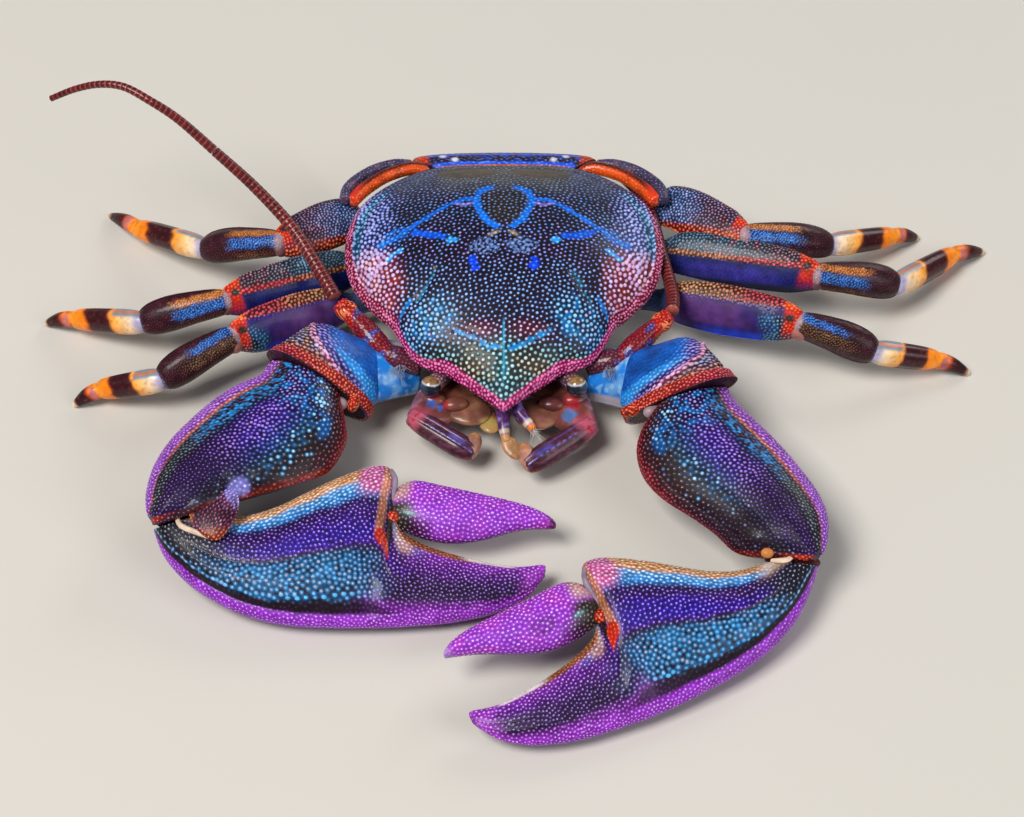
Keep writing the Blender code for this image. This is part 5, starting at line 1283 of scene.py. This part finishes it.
antennuleFacts = dict(
    right=((1.2, -9.2, 5.0), (0.6, -12.2, 5.0), (0.1, -14.0, 4.6), (0.0, -15.4, 4.2), (-0.3, -16.8, 3.6)),
    left=((1.6, -9.2, 5.0), (1.4, -11.6, 5.0), (1.2, -13.4, 4.9), (2.1, -14.7, 4.5), (2.9, -15.7, 4.2)),
    radii=((0, 0.7), (2, 0.66), (3, 0.58), (4, 0.4)),
    tips=dict(right=(1.2, "#c08a58"), left=(1.0, "#d8782c")),
    leaf=((0.2, -16.3, 3.7), (1.3, -18.3, 3.0)), leafFace=(0, -0.3, 0.95),
    leafForm=((-0.1, 0.25, 0.2), (0.15, 0.7, 0.3), (0.45, 0.85, 0.3), (0.8, 0.6, 0.25), (1.0, 0.25, 0.15),
              (1.05, 0.1, 0.08)),
)
jawFacts = dict(
    route=((0, -9.0, 2.8), (0, -10.2, 2.8), (0, -11.2, 2.7), (0, -11.8, 2.6)),
    radii=((0, 2.2), (1, 2.2), (2, 1.8), (3, 1.0)), squash=0.5,
    plates=(((-3.6, -12.4, 3.3), (2.5, 1.9, 0.6), -22), ((-1.4, -13.6, 2.9), (1.1, 1.5, 0.4), 15),
            ((3.4, -12.9, 3.3), (2.4, 2.0, 0.6), 20)),
    paleSpot=(-1.4, -14.4, 3.0),
)
eyeFacts = dict(radius=1.02, place=(7.1, -11.6, 5.9), root=(5.0, -9.0, 5.5),
                form=((0.0, 0.8, 0.8), (0.4, 0.85, 0.85), (0.75, 0.95, 0.95), (0.9, 0.95, 0.95)))


def makeHairs(name, root, aim, spread, length, count, seed, code):
    draw = np.random.default_rng(seed)
    hairs = []
    for i in range(count):
        way = unit(np.asarray(aim) + draw.normal(0, spread, 3))
        long = length * draw.uniform(0.6, 1.1)
        start = np.asarray(root) + draw.normal(0, 0.22, 3) + way * long / 2
        bpy.ops.mesh.primitive_cone_add(vertices=5, radius1=0.035 * mm, radius2=0.01 * mm, depth=long * mm,
                                        location=(start + place) * mm,
                                        rotation=Vector(way).to_track_quat("Z", "Y").to_euler())
        hairs.append(bpy.context.object)
    joined = joinInto(hairs[0], *hairs[1:])
    joined.name = name
    bpy.ops.object.transform_apply(location=True, rotation=True, scale=True)
    return coatPiece(joined, code)


def makeFifthLeg(name, side):
    facts = fifthFacts
    arm = tubeLimb(f"fifthArm_{name}", onSide(side, facts["arm"]), facts["armRadii"], 20, 2, 6)
    points, normals = readPoints(arm), readNormals(arm)
    inward = unit((-0.4 * side, -0.6, 0.7))
    coats = flatCoats(len(points), "#c8380f", "#c8380f", "#f08050")
    brush(coats, ease(normals @ inward, -0.1, 0.3), "#e05010", "#e05010")
    brush(coats, ease(normals @ unit((0.3 * side, 0.6, 0.7)), 0.3, 0.7), "#4c1814", "#4c1814", "#8c4038")
    brush(coats, ease(wander(points, 1.0, 5), 0.1, 0.4) * 0.4, "#7c1c10", "#7c1c10")
    brush(coats, ease(np.abs(points[:, 0]), 14.0, 15.2) * 0.9, "#d83410", "#d83410")
    lay(arm, coats, addGrains(arm, 0.4, 0.07, 0.03, 17))
    done(arm, f"fifth_leg_arm_{name}")
    hand = tubeLimb(f"fifthHand_{name}", onSide(side, facts["hand"]), facts["handRadii"], 18, 2, 6)
    points = readPoints(hand)
    coats = flatCoats(len(points), "#3c3450", "#3c3450", "#7c7ca8")
    brush(coats, ease(wander(points, 1.0, 9), 0.0, 0.4), "#5c4458", "#5c4458")
    lay(hand, coats, addGrains(hand, 0.4, 0.07, 0.03, 18))
    done(hand, f"fifth_leg_hand_{name}")


def makeFeeler(name):
    facts = feelerFacts
    line = smoothLine(facts[name], 16)
    reach = np.concatenate([[0], np.cumsum(np.linalg.norm(np.diff(line, axis=0), axis=1))])
    whole, half = reach[-1], reach[-1] / 2
    for part, begin, end in (("near", 0.0, half - 0.02), ("far", half + 0.02, whole)):
        at = np.linspace(begin, end, int((end - begin) / facts["step"]))
        centres = np.stack([np.interp(at, reach, line[:, i]) for i in range(3)], 1)
        radius = facts["root"] + (facts["tip"] - facts["root"]) * at / whole
        radius = radius * (1 + 0.06 * np.abs(np.sin(at * math.pi / facts["ring"])))
        radius[-1] *= 0.6
        piece = cage(f"feeler_{part}_{name}Skin", tubeRings(centres, radius, facts["sides"]))
        bpy.ops.object.shade_smooth()
        ringAt = np.repeat(at, facts["sides"])
        shade = np.abs(np.sin(ringAt * math.pi / facts["ring"]))
        coats = flatCoats(len(ringAt), "#5c1418")
        brush(coats, ease(np.sin(ringAt * 1.7 + 1.0), -0.5, 1.0) * 0.4, "#3c1018")
        brush(coats, 1 - ease(shade, 0.2, 0.45), "#944840")
        lay(piece, coats)
        done(piece, f"feeler_{part}_{name}")


def makeFeelerBase(name, side):
    route = onSide(side, feelerFacts["base"][name])
    base = tubeLimb(f"feelerBaseSkin_{name}", route, feelerFacts["baseRadii"], 24, 2, 8)
    points = readPoints(base)
    away = np.abs(points[:, 0])
    grains = addGrains(base, 0.36, 0.07, 0.05, 31)
    coats = flatCoats(len(points), "#4c1c2c", "#642838", "#8c5464")
    brush(coats, ease(away, 11.0, 11.6), "#64101c", "#8c1a28", "#b43c48")
    brush(coats, ease(wander(points, 1.0, 8), 0.0, 0.25) * ease(away, 10.0, 11.5),
          "#3c3470", "#504c94", "#7880c4")
    brush(coats, ease(away, 14.6, 14.9), "#98140c", "#c0241a", "#e05844")
    lay(base, coats, grains)
    knob = makeBall("knob", np.array(route[-1]) - (side * 0.8, 0.7, 0.3), (1.15, 1.05, 0.95), 40 * side)
    joinInto(base, coatPiece(knob, *redBeads, size=0.08, seed=4))
    aim = (0.2 * side, -0.9, 0.1)
    joinInto(base, makeHairs("tuft", (side * 10.2, -9.6, 6.2), aim, 0.35, 1.3, 40, 6, "#8c94ac"))
    done(base, f"feeler_base_{name}")


def makeEye(name, side):
    facts = eyeFacts
    inner, middle = (np.array(p) for p in onSide(side, (facts["root"], facts["place"])))
    along = unit(middle - inner)
    stalk = ovalLimb(f"eyestalkSkin_{name}", inner, middle, (0, 0, 1), fineForm(facts["form"], 8), 16, 2)
    coats = flatCoats(len(stalk.data.vertices), "#4c3040", "#6c4c5c", "#a88c9c")
    brush(coats, ease(wander(readPoints(stalk), 0.6, 3), 0.0, 0.3), "#6c4438", "#8c5c50")
    lay(stalk, coats, addGrains(stalk, 0.36, 0.07, 0.03, 23))
    done(stalk, f"eyestalk_{name}")
    bpy.ops.object.select_all(action="DESELECT")
    bpy.ops.mesh.primitive_uv_sphere_add(segments=64, ring_count=40, radius=facts["radius"] * mm,
                                         location=(middle + place) * mm)
    ball = bpy.context.object
    ball.name = f"eyeball_{name}"
    bpy.ops.object.transform_apply(location=True, rotation=True, scale=True)
    bpy.ops.object.shade_smooth()
    step = (readPoints(ball) - middle) / facts["radius"]
    height = step @ unit((-0.1 * side, 0.35, 0.94))
    coats = flatCoats(len(step), "#14202c")
    # blue-grey on the eye's outer side: a painted reflection on the glassy eye
    brush(coats, ease(step[:, 0] * side, 0.1, 0.7) * 0.6, "#44586c")
    brush(coats, humpAt(height, 0.52, 0.12), "#b8b4bc")
    brush(coats, ease(height, 0.56, 0.64), "#8c6c44")
    brush(coats, ease(wander(step, 0.25, 5), 0.1, 0.4) * ease(height, 0.56, 0.64), "#6c5030")
    lay(ball, coats)
    done(ball, f"eye_{name}")


def makeMouthPlate(name, side):
    facts = mouthFacts
    elbow = np.array(onSide(side, facts["legs"][name])[0])
    hinge = np.array(onSide(side, (facts["hinge"],))[0])
    form = fineForm(facts["plateForm"], 16)
    plate = ovalLimb(f"mouthPlate_{name}", hinge, elbow, facts["face"], form, 28, 2)
    lobes = [makeBall(f"mouthLobe{i}", onSide(side, (spot,))[0], radii, turn * side)
             for i, (spot, radii, turn) in enumerate(facts["lobes"])]
    plate = joinInto(plate, *lobes)
    points = readPoints(plate)
    coats = flatCoats(len(points), "#6c3a34")
    brush(coats, ease(wander(points, 1.1, 2), -0.1, 0.4) * 0.7, "#8c5440")
    brush(coats, ease(-np.abs(points[:, 0]), -5.0, -2.0) * 0.6, "#a8764c")
    cheek = ease(np.abs(points[:, 0]) * 0.8 + points[:, 1] * 0.5, -0.2, 0.8)
    brush(coats, cheek * 0.85, "#7c5064")
    brush(coats, cheek * ease(wander(points, 0.8, 6), 0.0, 0.25) * 0.8, "#bca0ac")
    for spot, radius, code in facts["marks"][name]:
        mark = 1 - ease(seenFrom(points, spot) + wander(points, 0.5, 3) * 0.25, radius * 0.6, radius * 1.3)
        brush(coats, mark * 0.75, code)
    brush(coats, 1 - ease(np.linalg.norm(points - elbow, axis=1), 1.0, 1.9), "#a04458")
    lay(plate, coats)
    done(plate, f"mouth_leg_plate_{name}")
def makeMouthBar(name, side):
    facts = mouthFacts
    elbow, bend, end = (np.array(p) for p in onSide(side, facts["legs"][name]))
    bar = ovalLimb(f"mouthBar_{name}", elbow, bend, facts["face"], fineForm(facts["barForm"], 16), 28, 2)
    along, wide, tall = limbFrame(elbow, bend, facts["face"])
    points, normals = readPoints(bar), readNormals(bar)
    out, height = (points - elbow) @ wide * side, (points - elbow) @ tall
    ridges = humpAt(out, -0.15, 0.22) + humpAt(out, 0.55, 0.2)
    putPoints(bar, points + normals * (0.09 * ridges * ease(height, 0.2, 0.6))[:, None])
    reach = (points - elbow) @ along / np.linalg.norm(bend - elbow)
    coats = flatCoats(len(points), "#44202e")
    brush(coats, ease(wander(points, 0.5, 4), 0.0, 0.4) * 0.5, "#643444")
    brush(coats, ease(wander(points @ np.diag((0.5, 1, 1)), 0.35, 7), 0.1, 0.3) * 0.35, "#805068")
    dashes = ease(np.sin(reach * 62), -0.6, 0.4)
    brush(coats, humpAt(out, -0.15, 0.1) * ease(height, 0.3, 0.6) * dashes * ease(reach, 0.1, 0.3), "#5c68c0")
    # paler violet patch on the top near the bar's end: a painted sheen
    brush(coats, humpAt(out, 0.15, 0.3) * ease(height, 0.3, 0.6) * humpAt(reach, 0.75, 0.2) * 0.7, "#5450a8")
    # faint violet line on the upper side of the second ridge: a painted highlight
    brush(coats, humpAt(out, 0.5, 0.12) * ease(height, 0.2, 0.5) * 0.35, "#58509c")
    brush(coats, 1 - ease(reach, 0.02, 0.2), "#b0586c")
    brush(coats, (1 - ease(reach, 0.0, 0.12)) * ease(wander(points, 0.4, 9), 0.1, 0.3), "#b81838")
    brush(coats, ease(reach, 0.85, 1.0) * ease(-height, -0.6, 0.2) * 0.8, "#8c1c24")
    lay(bar, coats)
    hand = ovalLimb(f"mouthHand_{name}", bend, end, facts["face"], fineForm(facts["handForm"], 10), 18, 2)
    points = readPoints(hand)
    coats = flatCoats(len(points), "#a87464")
    brush(coats, ease(wander(points, 0.5, 5), 0.0, 0.3) * 0.6, "#c08c6c")
    brush(coats, 1 - ease(np.linalg.norm(points - end, axis=1), 0.4, 1.0), "#d08c50")
    lay(hand, coats)
    bar = joinInto(bar, hand)
    done(bar, f"mouth_leg_bar_{name}")
def makeAntennule(name, side):
    facts = antennuleFacts
    route = onSide(side, facts[name])
    whip = tubeLimb(f"antennuleSkin_{name}", route, facts["radii"], 20, 2)
    points = readPoints(whip)
    far = np.linalg.norm(points - route[-1], axis=1)
    coats = flatCoats(len(points), "#4c2458")
    # lavender patches on the purple rod: a painted highlight
    brush(coats, ease(wander(points, 0.6, 2), 0.0, 0.4) * 0.7, "#8c7cc0")
    ringAt, tipTint = facts["tips"][name]
    brush(coats, humpAt(far, ringAt, 0.3), "#c8b4a0")
    brush(coats, 1 - ease(far, ringAt - 0.4, ringAt - 0.2), tipTint)
    lay(whip, coats)
    if name == "right":
        leaf = ovalLimb("leaf", *facts["leaf"], facts["leafFace"], fineForm(facts["leafForm"], 12), 20, 2)
        points = readPoints(leaf)
        coats = flatCoats(len(points), "#a87850")
        brush(coats, ease(-points[:, 0], 0.3, 0.7), "#94485c")
        brush(coats, ease(wander(points @ np.diag((3, 1, 1)), 0.5, 2), 0.0, 0.3) * 0.4, "#c49c70")
        lay(leaf, coats)
        joinInto(whip, leaf)
    else:
        joinInto(whip, makeHairs("fan", route[-1], (0.35, -0.8, 0.0), 0.3, 1.5, 26, 5, "#c8bcb4"))
    done(whip, f"antennule_{name}")


bodyFacts = dict(
    outline=((0.0, -9.4), (4.0, -9.5), (7.8, -8.7), (10.1, -6.3), (11.9, -3.4), (13.5, 0.0), (14.2, 4.0),
             (13.9, 8.5), (12.0, 12.0), (7.8, 14.3), (0.0, 14.8)),
    sides=64,
    rings=((0.25, 2.25, 0), (0.50, 2.2, 0), (0.60, 2.35, 0), (0.70, 2.7, 0), (0.80, 3.6, 0), (0.86, 4.6, 0),
           (0.92, -3.0, 1), (0.96, -1.9, 1), (0.99, -1.1, 1), (1.0, -0.8, 1), (0.6, -0.8, 1)),
)
tailFacts = dict(
    tail_upper=(0.75, ((15.7, 8.1, 6.6), (17.2, 8.1, 8.6), (18.6, 7.0, 9.6), (19.0, 5.4, 9.8), (18.6, 4.0, 9.6))),
    tail_lower=(0.55, ((18.3, 3.2, 9.4), (16.4, 1.8, 9.2), (13.0, 1.35, 8.8), (8.0, 1.3, 8.0), (3.0, 1.3, 6.4),
                       (0.36, 1.35, 5.4))),
    tail_fan=(0.5, ((0.04, 1.35, 5.4), (-2.0, 1.35, 5.6), (-4.2, 1.35, 4.4), (-5.4, 1.35, 2.4))),
)


def makeBody():
    facts = bodyFacts
    half = smoothLine([(x, y, 0) for x, y in facts["outline"]], 8)[:, :2]
    turn, far = np.arctan2(half[:, 0], -half[:, 1]), np.hypot(half[:, 0], half[:, 1])
    angle = np.arange(facts["sides"]) * 2 * math.pi / facts["sides"]
    angle = np.where(angle > math.pi, angle - 2 * math.pi, angle)
    reach = np.interp(np.abs(angle), turn, far)
    rings = []
    for share, height, keep in facts["rings"]:
        x, y = np.sin(angle) * reach * share, -np.cos(angle) * reach * share
        z = height + (shellFacts["rim"] + shellFacts["slope"] * y if keep else 0 * x)
        rings.append(np.stack([x, y, z], 1))
    piece = smoothOut(cage("flanks", rings), 2)
    points, normals = readPoints(piece), readNormals(piece)
    coats = flatCoats(len(points), "#7c8ca8", "#8fa0b8", "#b4c0d4")
    brush(coats, ease(wander(points, 2.5, 6), 0.0, 0.5) * 0.6, "#506c9c", "#5f7aa8", "#8ca4cc")
    brush(coats, ease(points[:, 1], 6.0, 10.0), "#54506c", "#645c78", "#8c84a4")
    brush(coats, ease(-points[:, 1], 6.0, 8.0), "#5c3c44", "#74505c", "#a07c88")
    brush(coats, ease(-normals[:, 2], 0.2, 0.7), "#8c8098", "#9c8fa8", "#b4a8bc")
    lay(piece, coats, addGrains(piece, 0.6, 0.09, 0.02, 15))
    done(piece, "body")


def makeTail():
    across = np.array((1.0, 0, 0))
    for node, (thick, path) in tailFacts.items():
        line = smoothLine([(0, y, z) for y, z, half in path], 5)
        halves = curveOf([(i * 5, half) for i, (y, z, half) in enumerate(path)])
        rings = []
        for i, point in enumerate(line):
            along = unit(line[min(i + 1, len(line) - 1)] - line[max(i - 1, 0)])
            rings.append(section(point, across, np.cross(across, along), float(halves(i)), thick, thick,
                                 topAngles(22, 14), 0.7))
        piece = smoothOut(cage(node + "Skin", rings), 2)
        points = readPoints(piece)
        side = np.abs(points[:, 0])
        coats = flatCoats(len(points), "#281c2c", "#382a40", "#5c6c9c")
        brush(coats, ease(wander(points, 0.6, 4), 0.15, 0.3), "#1c3ca0", "#2448b8", "#4874dc")
        if node == "tail_upper":
            brush(coats, humpAt(points[:, 1], 15.9, 0.3) * (1 - ease(side, 7.0, 7.6)),
                  "#a85014", "#c86a20", "#e08838")
            brush(coats, humpAt(points[:, 1], 16.3, 0.3) * (1 - ease(side, 7.0, 7.6)),
                  "#1c50d8", "#2b66e8", "#5c90f8")
            brush(coats, humpAt(points[:, 1], 17.9, 0.35) * (1 - ease(side, 8.0, 8.8)) * 0.8,
                  "#1c50d8", "#2b66e8", "#5c90f8")
            for x, y in ((5.1, 16.9), (6.4, 17.6)):
                brush(coats, 1 - ease(np.hypot(side - x, points[:, 1] - y), 0.25, 0.45),
                      "#c8c4d8", "#d8d4e4", "#e8e4f0")
            brush(coats, ease(side, 7.6, 8.2), "#a02c14", "#c03c1c", "#e87048")
        else:
            brush(coats, np.full(len(points), 0.6), "#6c5c78", "#7a6a86", "#9c8cac")
            brush(coats, ease(side, 8.6, 9.3), "#802414", "#a03420", "#c86040")
        lay(piece, coats, addGrains(piece, 0.45, 0.08, 0.03, 77))
        done(piece, node)
def makeJaws():
    facts = jawFacts
    jaws = tubeLimb("jawsSkin", facts["route"], facts["radii"], 20, 2, 4, facts["squash"])
    joinInto(jaws, *(makeBall(f"jawPlate{i}", *plate) for i, plate in enumerate(facts["plates"])))
    points = readPoints(jaws)
    coats = flatCoats(len(points), "#6c4234")
    brush(coats, ease(wander(points, 1.0, 4), -0.1, 0.4) * 0.7, "#94684c")
    brush(coats, ease(wander(points @ np.diag((2, 1, 1)), 0.5, 7), 0.1, 0.4) * 0.5, "#7c4450")
    brush(coats, 1 - ease(seenFrom(points, facts["paleSpot"]), 0.7, 1.3), "#b09454")
    brush(coats, ease(-points[:, 1], 14.2, 14.6) * 0.5, "#a87850")
    lay(jaws, coats)
    done(jaws, "mouth")


makeShell()
makeBody()
makeTail()
makeJaws()
for number, (sideName, facts) in enumerate(clawFacts.items()):
    axes, wrist = makePalm(sideName, facts, 21 + number)
    makeFinger(sideName, axes, wrist, facts, 31 + number)
    makeArm(sideName, facts, 41 + number)
    makeClawBase(sideName, facts, 51 + number)
    makeClawMerus(sideName, facts, 51 + number)
    makeEye(sideName, facts["side"])
    makeMouthPlate(sideName, facts["side"])
    makeMouthBar(sideName, facts["side"])
    makeAntennule(sideName, facts["side"])
    makeFifthLeg(sideName, facts["side"])
    makeFeeler(sideName)
    makeFeelerBase(sideName, facts["side"])
    print("small parts", sideName)
for number, (legName, joints) in enumerate(legJoints.items()):
    makeLegMerus(legName, joints, 61 + number)
    makeLegCarpus(legName, joints, 61 + number)
    makeLegEnds(legName, joints, 61 + number)
    print(legName)


studio = dict(
    distance=235.0, target=(0.8, -12.0, 3.0), lens=84.375, sensor=36, nearest=0.005,
    floor=(0.60, 0.57, 0.52, 1), floorSize=4.0, floorGrain=60, floorRough=(0.55, 0.7),
    air=(0.95, 0.97, 1.0, 1), airStrength=0.18,
    lights=(  # name, place, size, power, tint
        ("softKey", (-0.35, -0.25, 0.75), 0.35, 7.4, (1.0, 0.98, 0.95)),
        ("softFill", (0.55, -0.35, 0.45), 0.4, 1.7, (0.93, 0.96, 1.0)),
        ("softBack", (0.45, 0.5, 0.4), 0.3, 1.2, (1.0, 1.0, 1.0)),
    ),
)


def makeFloor():
    bpy.ops.object.select_all(action="DESELECT")
    bpy.ops.mesh.primitive_plane_add(size=studio["floorSize"])
    floor = bpy.context.object
    floor.name = "studioFloor"
    made = bpy.data.materials.new("paleFloor")
    made.use_nodes = True
    tree = made.node_tree
    shader = tree.nodes["Principled BSDF"]
    spots = tree.nodes.new("ShaderNodeTexNoise")
    spots.inputs["Scale"].default_value = studio["floorGrain"]
    coords = tree.nodes.new("ShaderNodeTexCoord")
    tree.links.new(coords.outputs["Object"], spots.inputs["Vector"])
    ramp = tree.nodes.new("ShaderNodeMapRange")
    ramp.inputs["To Min"].default_value, ramp.inputs["To Max"].default_value = studio["floorRough"]
    tree.links.new(spots.outputs["Fac"], ramp.inputs["Value"])
    tree.links.new(ramp.outputs[0], shader.inputs["Roughness"])
    shader.inputs["Base Color"].default_value = studio["floor"]
    floor.data.materials.append(made)


def makeLights():
    for title, spot, size, power, tint in studio["lights"]:
        light = bpy.data.lights.new(title, "AREA")
        light.size = size
        light.energy = power
        light.color = tint
        lamp = bpy.data.objects.new(title, light)
        bpy.context.scene.collection.objects.link(lamp)
        lamp.location = spot
        lamp.rotation_euler = Vector(spot).to_track_quat("Z", "Y").to_euler()
    world = bpy.data.worlds.new("studioAir")
    world.use_nodes = True
    air = world.node_tree.nodes["Background"]
    air.inputs["Color"].default_value = studio["air"]
    air.inputs["Strength"].default_value = studio["airStrength"]
    bpy.context.scene.world = world
    bpy.context.scene.view_settings.view_transform = "Standard"


def makeCamera():
    lens = bpy.data.cameras.new("photoCamera")
    lens.lens = studio["lens"]
    lens.sensor_width = studio["sensor"]
    lens.clip_start = studio["nearest"]
    camera = bpy.data.objects.new("photoCamera", lens)
    bpy.context.scene.collection.objects.link(camera)
    aim = (np.array(studio["target"]) + place) * mm
    camera.location = aim - lookWay * studio["distance"] * mm
    camera.rotation_euler = (math.pi / 2 - math.radians(cameraTilt), 0, 0)
    bpy.context.scene.camera = camera


makeFloor()
makeLights()
makeCamera()
print("stage set")
